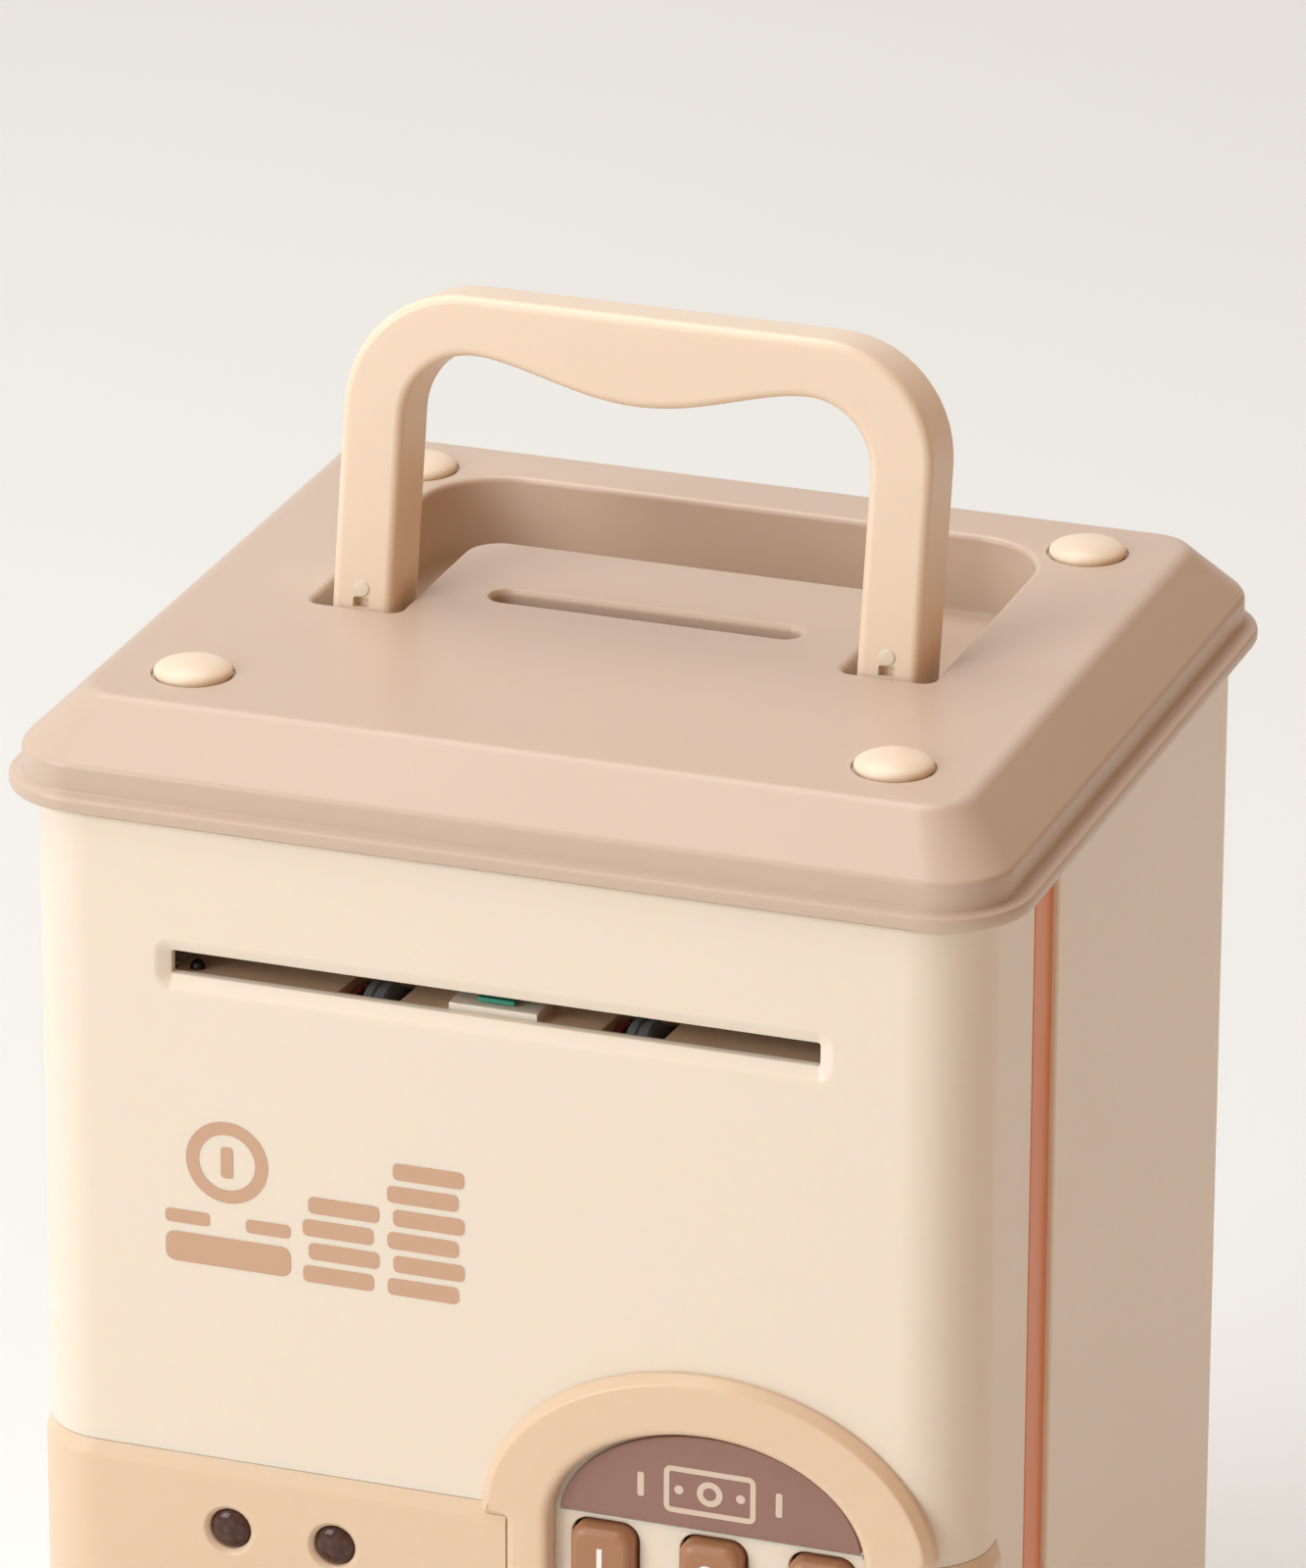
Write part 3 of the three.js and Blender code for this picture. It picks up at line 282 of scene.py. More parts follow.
def settled(piece):
    """Puts the result of the piece's modifiers into its mesh."""
    evaluated = piece.evaluated_get(bpy.context.evaluated_depsgraph_get())
    mesh = bpy.data.meshes.new_from_object(evaluated)
    piece.modifiers.clear()
    piece.data = mesh
    return piece


def carved(piece, form, operation="DIFFERENCE"):
    """The piece with the form's solids taken out of it, or joined to it."""
    tool = bpy.data.objects.new("tool", form.mesh("tool"))
    bpy.context.scene.collection.objects.link(tool)
    piece.modifiers.clear()
    cut = piece.modifiers.new("cut", "BOOLEAN")
    cut.operation, cut.solver, cut.object = operation, "EXACT", tool
    settled(piece)
    bpy.data.objects.remove(tool)
    shade(piece)
    return piece


def fit(piece, body, slot, *nodes):
    """Rides the piece on its body and hides the nodes that it stands for. The slot argument, the name of its
    finish, is not used.
    """
    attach(piece, body)
    if nodes:
        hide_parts(*nodes)
    return piece


def refined(node, body, slot, finish, edge=0.25, segments=2, sharp=30):
    """A close copy of a frame node with soft edges, for the pieces inside the bank."""
    bm = bmesh.new()
    bm.from_mesh(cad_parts[node].data)
    bmesh.ops.remove_doubles(bm, verts=bm.verts, dist=2e-6)
    flat_angle = math.radians(0.4)
    bmesh.ops.dissolve_limit(bm, angle_limit=flat_angle, verts=bm.verts, edges=bm.edges)
    mesh = bpy.data.meshes.new(node + "_fine")
    bm.to_mesh(mesh)
    bm.free()
    piece = bpy.data.objects.new(node + "_fine", mesh)
    bpy.context.scene.collection.objects.link(piece)
    mesh.materials.append(finish)
    mesh.shade_smooth()
    mesh.set_sharp_from_angle(angle=math.radians(sharp))
    bevel = piece.modifiers.new("edges", "BEVEL")
    bevel.width, bevel.segments = edge * MM, segments
    bevel.limit_method, bevel.angle_limit = "ANGLE", math.radians(40)
    bevel.use_clamp_overlap = True
    weights = piece.modifiers.new("weights", "WEIGHTED_NORMAL")
    weights.keep_sharp = True
    return fit(piece, body, slot, node)


# ---------------------------------------------------------------- node wiring

class Wiring:
    """Adds nodes to a tree. A value may be a constant or another node's socket."""

    def __init__(self, tree):
        self.tree = tree

    def add(self, kind, settings=(), feeds=(), **inputs):
        node = self.tree.nodes.new(kind)
        for key, value in dict(settings).items():
            setattr(node, key, value)
        for index, value in enumerate(feeds):
            self.feed(node.inputs[index], value)
        for label, value in inputs.items():
            self.feed(node.inputs[label.replace("_", " ")], value)
        return node

    def feed(self, socket, value):
        if isinstance(value, bpy.types.NodeSocket):
            self.tree.links.new(value, socket)
        elif value is not None:
            socket.default_value = value

    def math(self, operation, *feeds):
        return self.add("ShaderNodeMath", {"operation": operation}, feeds).outputs[0]


def new_group(name, kind, inputs, outputs):
    group = bpy.data.node_groups.new(name, kind)
    for label, socket, value in inputs:
        made = group.interface.new_socket(label, in_out="INPUT", socket_type=socket)
        if value is not None:
            made.default_value = value
    for label, socket in outputs:
        group.interface.new_socket(label, in_out="OUTPUT", socket_type=socket)
    wiring = Wiring(group)
    return group, wiring, wiring.add("NodeGroupInput").outputs, wiring.add("NodeGroupOutput").inputs


# ---------------------------------------------------------------- shared surface effects

FLOAT, VECTOR, MATERIAL = "NodeSocketFloat", "NodeSocketVector", "NodeSocketMaterial"
GEOMETRY, INTEGER = "NodeSocketGeometry", "NodeSocketInt"


def moulding_group():
    """Slow tone drift, polish and fine texture of a moulded surface."""
    group, w, given, out = new_group("moulding", "ShaderNodeTree", [
        ("Drift Scale", FLOAT, 9.0), ("Grain Scale", FLOAT, 240.0), ("Polish Low", FLOAT, 0.29),
        ("Polish High", FLOAT, 0.35),
    ], [("Tone", FLOAT), ("Roughness", FLOAT), ("Height", FLOAT)])
    place = w.add("ShaderNodeTexCoord").outputs["Object"]
    drift = w.add("ShaderNodeTexNoise", Vector=place, Scale=given["Drift Scale"], Detail=3.0, Roughness=0.5)
    grain = w.add("ShaderNodeTexNoise", Vector=place, Scale=given["Grain Scale"], Detail=2.0, Roughness=0.6)
    flow = w.add("ShaderNodeTexNoise", Vector=place, Scale=55.0, Detail=2.0, Roughness=0.45)
    tone = w.add("ShaderNodeMapRange", feeds=(drift.outputs[0], 0.15, 0.85, 0.0, 1.0))
    w.feed(out["Tone"], tone.outputs[0])
    w.feed(out["Roughness"], w.add("ShaderNodeMapRange", feeds=(
        flow.outputs[0], 0.1, 0.9, given["Polish Low"], given["Polish High"])).outputs[0])
    w.feed(out["Height"], grain.outputs[0])
    return group


def dust_group():
    """Fine dust that settles on faces that look up."""
    group, w, given, out = new_group("dust", "ShaderNodeTree", [("Amount", FLOAT, 0.3)], [("Mask", FLOAT)])
    coords = w.add("ShaderNodeTexCoord")
    up = w.add("ShaderNodeSeparateXYZ", feeds=(coords.outputs["Normal"],)).outputs["Z"]
    facing = w.math("POWER", w.math("MAXIMUM", up, 0.0), 6.0)
    place = coords.outputs["Object"]
    specks = w.add("ShaderNodeTexNoise", Vector=place, Scale=1400.0, Detail=4.0).outputs[0]
    patches = w.add("ShaderNodeTexNoise", Vector=place, Scale=30.0, Detail=3.0).outputs[0]
    fine = w.add("ShaderNodeMapRange", feeds=(specks, 0.52, 0.75, 0.0, 1.0)).outputs[0]
    spread = w.add("ShaderNodeMapRange", feeds=(patches, 0.35, 0.7, 0.25, 1.0)).outputs[0]
    w.feed(out["Mask"], w.math("MULTIPLY", w.math("MULTIPLY", fine, spread),
                               w.math("MULTIPLY", facing, given["Amount"])))
    return group


def scuff_group():
    """Hairline scuffs that dull the polish along one direction."""
    group, w, given, out = new_group("scuffs", "ShaderNodeTree", [
        ("Stretch", VECTOR, (30.0, 900.0, 900.0)), ("Amount", FLOAT, 0.2),
    ], [("Mask", FLOAT)])
    place = w.add("ShaderNodeTexCoord").outputs["Object"]
    turned = w.add("ShaderNodeMapping", Vector=place, Rotation=(0.3, 0.5, 0.2), Scale=given["Stretch"])
    lines = w.add("ShaderNodeTexNoise", Vector=turned.outputs[0], Scale=1.0, Detail=2.0).outputs[0]
    where = w.add("ShaderNodeTexNoise", Vector=place, Scale=22.0, Detail=2.0).outputs[0]
    hair = w.add("ShaderNodeMapRange", feeds=(lines, 0.62, 0.72, 0.0, 1.0)).outputs[0]
    zone = w.add("ShaderNodeMapRange", feeds=(where, 0.5, 0.65, 0.0, 1.0)).outputs[0]
    w.feed(out["Mask"], w.math("MULTIPLY", w.math("MULTIPLY", hair, zone), given["Amount"]))
    return group


MOULDING, DUST, SCUFFS = moulding_group(), dust_group(), scuff_group()


# ---------------------------------------------------------------- materials

def new_material(name):
    material = bpy.data.materials.new(name)
    material.use_nodes = True
    wiring = Wiring(material.node_tree)
    return material, wiring, material.node_tree.nodes["Principled BSDF"]


def mixed(w, factor, a, b):
    mix = w.add("ShaderNodeMix", {"data_type": "RGBA"})
    w.feed(mix.inputs["Factor"], factor)
    w.feed(mix.inputs[6], a)
    w.feed(mix.inputs[7], b)
    return mix.outputs[2]


def rgb(*values):
    return (*values, 1.0)


def moulded(name, colour, deep, polish=(0.29, 0.35), grain=0.03, soft=0.0, dust=0.03, scuffs=0.1):
    """Moulded plastic: colour drifts a little towards deep, with fine grain, dust and hairline scuffs."""
    material, w, shader = new_material(name)
    surface = w.add("ShaderNodeGroup", {"node_tree": MOULDING}, Polish_Low=polish[0], Polish_High=polish[1])
    settled_dust = w.add("ShaderNodeGroup", {"node_tree": DUST}, Amount=dust).outputs["Mask"]
    hair = w.add("ShaderNodeGroup", {"node_tree": SCUFFS}, Amount=scuffs).outputs["Mask"]
    tone = w.math("MULTIPLY", surface.outputs["Tone"], 0.7)
    body = mixed(w, tone, rgb(*colour), rgb(*deep))
    w.feed(shader.inputs["Base Color"], mixed(w, settled_dust, body, rgb(0.80, 0.76, 0.70)))
    dull = w.math("MULTIPLY", w.math("ADD", settled_dust, hair), 0.35)
    w.feed(shader.inputs["Roughness"], w.math("ADD", surface.outputs["Roughness"], dull))
    bump = w.add("ShaderNodeBump", Strength=grain, Distance=0.00002, Height=surface.outputs["Height"])
    w.feed(shader.inputs["Normal"], bump.outputs[0])
    shader.inputs["IOR"].default_value = 1.5
    if soft:
        shader.inputs["Subsurface Weight"].default_value = soft
        shader.inputs["Subsurface Radius"].default_value = (1.0, 0.45, 0.22)
        shader.inputs["Subsurface Scale"].default_value = 0.0022
    return material


def metal(name, colour, deep, roughness=(0.29, 0.42), stretch=(40.0, 2200.0, 2200.0)):
    """Drawn or turned metal with a brushed grain."""
    material, w, shader = new_material(name)
    surface = w.add("ShaderNodeGroup", {"node_tree": MOULDING}, Drift_Scale=60.0,
                    Polish_Low=roughness[0], Polish_High=roughness[1])
    lines = w.add("ShaderNodeGroup", {"node_tree": SCUFFS}, Stretch=stretch, Amount=0.8).outputs["Mask"]
    w.feed(shader.inputs["Base Color"], mixed(w, surface.outputs["Tone"], rgb(*colour), rgb(*deep)))
    dull = w.math("MULTIPLY", lines, 0.2)
    w.feed(shader.inputs["Roughness"], w.math("ADD", surface.outputs["Roughness"], dull))
    bump = w.add("ShaderNodeBump", Strength=0.15, Distance=0.00004, Height=lines)
    w.feed(shader.inputs["Normal"], bump.outputs[0])
    shader.inputs["Metallic"].default_value = 1.0
    return material


def circuit_board():
    """Green board with paler traces and dark drilled dots."""
    material, w, shader = new_material("green_board")
    place = w.add("ShaderNodeTexCoord").outputs["Object"]
    cells = w.add("ShaderNodeTexVoronoi", {"distance": "MANHATTAN"}, Vector=place, Scale=420.0)
    traces = w.add("ShaderNodeMapRange", feeds=(cells.outputs["Distance"], 0.36, 0.44, 0.0, 1.0)).outputs[0]
    pads = w.add("ShaderNodeMapRange", feeds=(cells.outputs["Distance"], 0.10, 0.14, 1.0, 0.0)).outputs[0]
    green = mixed(w, traces, rgb(0.008, 0.16, 0.11), rgb(0.02, 0.28, 0.19))
    w.feed(shader.inputs["Base Color"], mixed(w, pads, green, rgb(0.55, 0.50, 0.36)))
    polish = w.add("ShaderNodeMapRange", feeds=(traces, 0.0, 1.0, 0.3, 0.42))
    w.feed(shader.inputs["Roughness"], polish.outputs[0])
    bump = w.add("ShaderNodeBump", Strength=0.3, Distance=0.00005, Height=traces)
    w.feed(shader.inputs["Normal"], bump.outputs[0])
    return material


def tinted_lens():
    """Dark brown acrylic dome whose prism back has faint rings; the colour is lighter at the middle of small
    cells, painted glints of that prism back.
    """
    material, w, shader = new_material("brown_lens")
    place = w.add("ShaderNodeTexCoord").outputs["Object"]
    facets = w.add("ShaderNodeTexVoronoi", Vector=place, Scale=900.0)
    # Painted glints: lighter colour at the cell centres stands in for light caught in the prism back.
    glow = w.add("ShaderNodeMapRange", feeds=(facets.outputs["Distance"], 0.0, 0.8, 1.0, 0.0)).outputs[0]
    w.feed(shader.inputs["Base Color"], mixed(w, glow, rgb(0.058, 0.024, 0.018), rgb(0.110, 0.052, 0.040)))
    polish = w.add("ShaderNodeMapRange", feeds=(glow, 0.0, 1.0, 0.08, 0.14))
    w.feed(shader.inputs["Roughness"], polish.outputs[0])
    shader.inputs["IOR"].default_value = 1.38
    return material


def battery_sleeve():
    """Printed sleeve with a pale band at its positive end, and bare steel past it."""
    material, w, shader = new_material("battery_sleeve")
    surface = w.add("ShaderNodeGroup", {"node_tree": MOULDING}, Polish_Low=0.3, Polish_High=0.4)
    x = w.add("ShaderNodeSeparateXYZ", feeds=(w.add("ShaderNodeTexCoord").outputs["Object"],)).outputs["X"]
    band = w.math("GREATER_THAN", x, SLEEVE_BAND * MM)
    bare = w.math("GREATER_THAN", x, SLEEVE_END * MM)
    tone = w.math("MULTIPLY", surface.outputs["Tone"], 0.5)
    sleeve = mixed(w, tone, rgb(0.20, 0.27, 0.10), rgb(0.15, 0.21, 0.07))
    printed = mixed(w, band, sleeve, rgb(0.72, 0.62, 0.36))
    w.feed(shader.inputs["Base Color"], mixed(w, bare, printed, rgb(0.66, 0.66, 0.66)))
    w.feed(shader.inputs["Metallic"], w.math("MULTIPLY", bare, 0.95))
    w.feed(shader.inputs["Roughness"], surface.outputs["Roughness"])
    return material


def lit_ramp_plastic():
    """Warm peach plastic painted lighter and more saturated than peach_plastic, as painted light on the ramp
    behind the banknote slot, with a cream block in the middle of the ramp's front edge.
    """
    # Painted light: this peach is raised above the door's peach plastic to stand in for light that reaches
    # the ramp through the slot.
    material = moulded("ramp_lit_peach", (0.940, 0.640, 0.420), (0.920, 0.620, 0.400), soft=0.3, dust=0.0)
    w, shader = Wiring(material.node_tree), material.node_tree.nodes["Principled BSDF"]
    peach = shader.inputs["Base Color"].links[0].from_socket
    place = w.add("ShaderNodeSeparateXYZ", feeds=(w.add("ShaderNodeTexCoord").outputs["Object"],)).outputs
    across = w.math("COMPARE", place["X"], RAMP_BLOCK["x"] * MM, RAMP_BLOCK["half"] * MM)
    block = w.math("MULTIPLY", across, w.math("LESS_THAN", place["Y"], RAMP_BLOCK["rear"] * MM))
    w.feed(shader.inputs["Base Color"], mixed(w, block, peach, rgb(0.90, 0.82, 0.71)))
    return material


CREAM = moulded("cream_plastic", (0.850, 0.750, 0.630), (0.835, 0.730, 0.605), soft=0.3)
TAUPE = moulded("taupe_plastic", (0.600, 0.472, 0.375), (0.585, 0.458, 0.362), polish=(0.29, 0.36), soft=0.15)
PEACH = moulded("peach_plastic", (0.775, 0.590, 0.420), (0.760, 0.572, 0.402), soft=0.25)
LIT_RAMP_PLASTIC = lit_ramp_plastic()
PALE_PEACH = moulded("handle_plastic", (0.840, 0.700, 0.550), (0.825, 0.685, 0.532), soft=0.25)
BROWN = moulded("key_plastic", (0.405, 0.195, 0.098), (0.390, 0.185, 0.092), polish=(0.3, 0.4), soft=0.1)
FILM = moulded("label_film", (0.300, 0.160, 0.125), (0.275, 0.145, 0.112), polish=(0.42, 0.55), grain=0.1,
               dust=0.02)
INK = moulded("tan_ink", (0.600, 0.375, 0.250), (0.570, 0.350, 0.232), polish=(0.35, 0.45), grain=0.05)
PALE_INK = moulded("pale_ink", (0.700, 0.560, 0.460), (0.670, 0.530, 0.430), polish=(0.4, 0.5), grain=0.05)
WHITE_INK = moulded("white_ink", (0.900, 0.890, 0.870), (0.870, 0.860, 0.840), polish=(0.35, 0.45),
                    grain=0.05)
WHITE = moulded("white_plastic", (0.780, 0.740, 0.670), (0.740, 0.700, 0.630), polish=(0.4, 0.52), grain=0.1)
RUBBER = moulded("grey_rubber", (0.085, 0.095, 0.110), (0.060, 0.068, 0.080), polish=(0.6, 0.8), grain=0.3)
GREY_TYRE = moulded("grey_tyre", (0.200, 0.225, 0.250), (0.165, 0.185, 0.210), polish=(0.5, 0.65), grain=0.5)
# Painted glow: the case lips are coloured deep orange to stand in for light shining through the cream plastic
# at the door's seam.
PAINTED_GLOW_LIP = moulded("lit_lip_plastic", (0.80, 0.26, 0.07), (0.72, 0.20, 0.05), soft=0.3, dust=0.0)
BLACK = moulded("black_screw", (0.012, 0.012, 0.013), (0.02, 0.018, 0.016), polish=(0.3, 0.4))
RED_WIRE = moulded("red_wire", (0.45, 0.03, 0.02), (0.38, 0.02, 0.015), polish=(0.3, 0.4))
STEEL = metal("drawn_steel", (0.60, 0.60, 0.61), (0.50, 0.50, 0.52))
BRASS = metal("turned_brass", (0.72, 0.50, 0.20), (0.62, 0.42, 0.15))
BOARD = circuit_board()
LENS = tinted_lens()
SLEEVE = battery_sleeve()


# ---------------------------------------------------------------- shapes that repeat

def grown(name, tree, places, linked=False, **values):
    """Runs a geometry tree on points, in millimetres, and keeps the plain mesh that it makes."""
    mesh = bpy.data.meshes.new(name)
    links = [(k, k + 1) for k in range(len(places) - 1)] if linked else []
    mesh.from_pydata([Vector(p) * MM for p in places], links, [])
    piece = bpy.data.objects.new(name, mesh)
    bpy.context.scene.collection.objects.link(piece)
    modifier = piece.modifiers.new("grow", "NODES")
    modifier.node_group = tree
    for item in tree.interface.items_tree:
        if item.in_out == "INPUT" and item.name in values:
            modifier[item.identifier] = values[item.name]
    settled(piece)
    shade(piece)
    return piece


def instanced(w, shape, given, out):
    """Ends a tree: the shape at every point, turned, made real and given its finish."""
    spots = w.add("GeometryNodeInstanceOnPoints", Points=given["Geometry"], Instance=shape,
                  Rotation=given["Turn"])
    real = w.add("GeometryNodeRealizeInstances", Geometry=spots.outputs[0])
    painted = w.add("GeometryNodeSetMaterial", Geometry=real.outputs[0], Material=given["Finish"])
    w.feed(out["Geometry"], painted.outputs[0])


def shape_group(name, inputs):
    return new_group(name, "GeometryNodeTree", [
        ("Geometry", GEOMETRY, None), *inputs, ("Turn", "NodeSocketRotation", None),
        ("Finish", MATERIAL, None),
    ], [("Geometry", GEOMETRY)])


def squashed_sphere(w, given, sides=40):
    """A dome of the given radius and rise on a short straight skirt, with a flat underside."""
    ball = w.add("GeometryNodeMeshUVSphere", Segments=sides, Rings=24, Radius=1.0)
    xyz = w.add("ShaderNodeSeparateXYZ", feeds=(w.add("GeometryNodeInputPosition").outputs[0],)).outputs
    dome = w.math("MULTIPLY", w.math("MAXIMUM", xyz["Z"], 0.0), given["Rise"])
    sunk = w.math("MAXIMUM", w.math("MINIMUM", w.math("MULTIPLY", xyz["Z"], 4.0), 0.0), -1.0)
    below = w.math("MULTIPLY", sunk, given["Skirt"])
    lifted = w.add("ShaderNodeCombineXYZ", X=w.math("MULTIPLY", xyz["X"], given["Radius"]),
                   Y=w.math("MULTIPLY", xyz["Y"], given["Radius"]), Z=w.math("ADD", dome, below))
    return w.add("GeometryNodeSetPosition", Geometry=ball.outputs[0], Position=lifted.outputs[0]).outputs[0]


def dome_tree():
    group, w, given, out = shape_group("domed_button", [
        ("Radius", FLOAT, 5 * MM), ("Rise", FLOAT, 1.6 * MM), ("Skirt", FLOAT, 0.5 * MM)])
    instanced(w, squashed_sphere(w, given), given, out)
    return group


def screw_tree():
    """Pan-head screws with a cross recess."""
    group, w, given, out = shape_group("cross_head_screw", [
        ("Radius", FLOAT, 2.4 * MM), ("Rise", FLOAT, 1.1 * MM), ("Skirt", FLOAT, 0.5 * MM),
        ("Cross", FLOAT, 0.55 * MM)])
    head = squashed_sphere(w, given, 24)
    long = w.math("MULTIPLY", given["Radius"], 1.15)
    bars = []
    for size in ((long, given["Cross"]), (given["Cross"], long)):
        extent = w.add("ShaderNodeCombineXYZ", X=size[0], Y=size[1], Z=given["Rise"])
        bar = w.add("GeometryNodeMeshCube", Size=extent.outputs[0])
        up = w.add("ShaderNodeCombineXYZ", X=0.0, Y=0.0, Z=given["Rise"])
        moved = w.add("GeometryNodeTransform", Geometry=bar.outputs[0], Translation=up.outputs[0])
        bars.append(moved.outputs[0])
    cut = w.add("GeometryNodeMeshBoolean", {"operation": "DIFFERENCE", "solver": "EXACT"})
    w.feed(cut.inputs["Mesh 1"], head)
    for bar in bars:
        w.tree.links.new(bar, cut.inputs["Mesh 2"])
    instanced(w, cut.outputs[0], given, out)
    return group


def rib_tree():
    """Straight round ribs that stand in a ring, as the grip of a knob."""
    group, w, given, out = shape_group("ring_of_ribs", [
        ("Count", INTEGER, 36), ("Ring", FLOAT, 16 * MM), ("Rib", FLOAT, 0.6 * MM),
        ("Length", FLOAT, 6 * MM)])
    circle_points = w.add("GeometryNodeMeshCircle", Vertices=given["Count"], Radius=given["Ring"])
    ball = w.add("GeometryNodeMeshUVSphere", Segments=10, Rings=8, Radius=1.0)
    extent = w.add("ShaderNodeCombineXYZ", X=given["Rib"], Y=given["Rib"], Z=given["Length"])
    xyz = w.add("ShaderNodeSeparateXYZ", feeds=(w.add("GeometryNodeInputPosition").outputs[0],)).outputs
    ends = w.math("MULTIPLY", w.math("SIGN", xyz["Z"]), w.math("POWER", w.math("ABSOLUTE", xyz["Z"]), 0.35))
    shaped = w.add("ShaderNodeCombineXYZ", X=xyz["X"], Y=xyz["Y"], Z=ends)
    sized = w.add("ShaderNodeVectorMath", {"operation": "MULTIPLY"}, (shaped.outputs[0], extent.outputs[0]))
    rib = w.add("GeometryNodeSetPosition", Geometry=ball.outputs[0], Position=sized.outputs[0])
    ring = w.add("GeometryNodeInstanceOnPoints", Points=circle_points.outputs[0], Instance=rib.outputs[0])
    instanced(w, ring.outputs[0], given, out)
    return group


def spring_tree():
    """A round wire coiled about its axis."""
    group, w, given, out = shape_group("coil_spring", [
        ("Turns", FLOAT, 6.0), ("Coil", FLOAT, 2.5 * MM), ("Length", FLOAT, 6 * MM),
        ("Wire", FLOAT, 0.25 * MM)])
    coil = w.add("GeometryNodeCurveSpiral", Resolution=20, Rotations=given["Turns"],
                 Start_Radius=given["Coil"], End_Radius=given["Coil"], Height=given["Length"])
    section = w.add("GeometryNodeCurvePrimitiveCircle", Resolution=8, Radius=given["Wire"])
    wire = w.add("GeometryNodeCurveToMesh", Curve=coil.outputs[0], Profile_Curve=section.outputs[0],
                 Fill_Caps=True)
    instanced(w, wire.outputs[0], given, out)
    return group


def wire_tree():
    """A round wire that runs smoothly through linked points."""
    group, w, given, out = new_group("round_wire", "GeometryNodeTree", [
        ("Geometry", GEOMETRY, None), ("Wire", FLOAT, 0.4 * MM), ("Bend", FLOAT, 1.6 * MM),
        ("Finish", MATERIAL, None),
    ], [("Geometry", GEOMETRY)])
    line = w.add("GeometryNodeMeshToCurve", Mesh=given["Geometry"])
    bent = w.add("GeometryNodeFilletCurve", {"mode": "POLY"}, Curve=line.outputs[0], Radius=given["Bend"],
                 Count=6)
    section = w.add("GeometryNodeCurvePrimitiveCircle", Resolution=12, Radius=given["Wire"])
    wire = w.add("GeometryNodeCurveToMesh", Curve=bent.outputs[0], Profile_Curve=section.outputs[0],
                 Fill_Caps=True)
    real = w.add("GeometryNodeRealizeInstances", Geometry=wire.outputs[0])
    painted = w.add("GeometryNodeSetMaterial", Geometry=real.outputs[0], Material=given["Finish"])
    w.feed(out["Geometry"], painted.outputs[0])
    return group


def key_tree():
    """A key cap: a filleted rectangle raised straight, then drawn in over a round edge."""
    group, w, given, out = shape_group("key_cap", [
        ("Width", FLOAT, KEY["w"] * MM), ("Height", FLOAT, KEY["h"] * MM), ("Corner", FLOAT, KEY["r"] * MM),
        ("Stem", FLOAT, 3 * MM), ("Edge", FLOAT, 1.3 * MM)])
    outline = w.add("GeometryNodeCurvePrimitiveQuadrilateral", Width=given["Width"], Height=given["Height"])
    soft = w.add("GeometryNodeFilletCurve", {"mode": "POLY"}, Curve=outline.outputs[0],
                 Radius=given["Corner"], Count=10)
    base = w.add("GeometryNodeFillCurve", {"mode": "NGONS"}, Curve=soft.outputs[0]).outputs[0]
    body, top, lift = base, None, given["Stem"]
    steps = 6
    for k in range(steps + 1):
        raised = w.add("GeometryNodeExtrudeMesh", Mesh=body, Selection=top, Offset_Scale=lift,
                       Individual=False)
        body, top = raised.outputs["Mesh"], raised.outputs["Top"]
        if k:
            last, now = math.radians(90 * (k - 1) / steps), math.radians(90 * k / steps)
            drawn = w.math("MULTIPLY", given["Edge"], 2 * (math.cos(last) - math.cos(now)))
            share = w.math("SUBTRACT", 1.0, w.math("DIVIDE", drawn, given["Width"]))
            body = w.add("GeometryNodeScaleElements", Geometry=body, Selection=top, Scale=share).outputs[0]
        nxt, now = math.radians(90 * (k + 1) / steps), math.radians(90 * k / steps)
        lift = w.math("MULTIPLY", given["Edge"], math.sin(nxt) - math.sin(now))
    back = w.add("GeometryNodeFlipFaces", Mesh=base)
    both = w.add("GeometryNodeJoinGeometry")
    for part in (body, back.outputs[0]):
        w.tree.links.new(part, both.inputs[0])
    closed = w.add("GeometryNodeMergeByDistance", Geometry=both.outputs[0], Distance=1e-6)
    instanced(w, closed.outputs[0], given, out)
    return group


DOME, SCREW, RIBS, SPRING, KEY_CAP = dome_tree(), screw_tree(), rib_tree(), spring_tree(), key_tree()
WIRE = wire_tree()
FACING_FRONT = (math.radians(90), 0.0, 0.0)          # turns a shape's +Z to face the front
FACING_REAR = (math.radians(-90), 0.0, 0.0)
FACING_DOWN = (math.radians(180), 0.0, 0.0)
FACING_RIGHT = (0.0, math.radians(90), 0.0)
UPRIGHT = (0.0, 0.0, 0.0)


# ---------------------------------------------------------------- lid

def cap_places():
    names = ["front_left", "front_right", "rear_left", "rear_right"]
    boxes = [box_mm("lid_cap_" + name) for name in names]
    return [((low.x + high.x) / 2, (low.y + high.y) / 2) for low, high in boxes]


def recess_outline():
    r, t = RECESS, TONGUE
    return rounded([
        (-r["x"], r["front"], r["front_r"]), (-t["x"], r["front"], r["front_r"]),
        (-t["x"], t["rear"], t["r"]), (t["x"], t["rear"], t["r"]),
        (t["x"], r["front"], r["front_r"]), (r["x"], r["front"], r["front_r"]),
        (r["x"], r["rear"], r["rear_r"]), (-r["x"], r["rear"], r["rear_r"]),
    ])


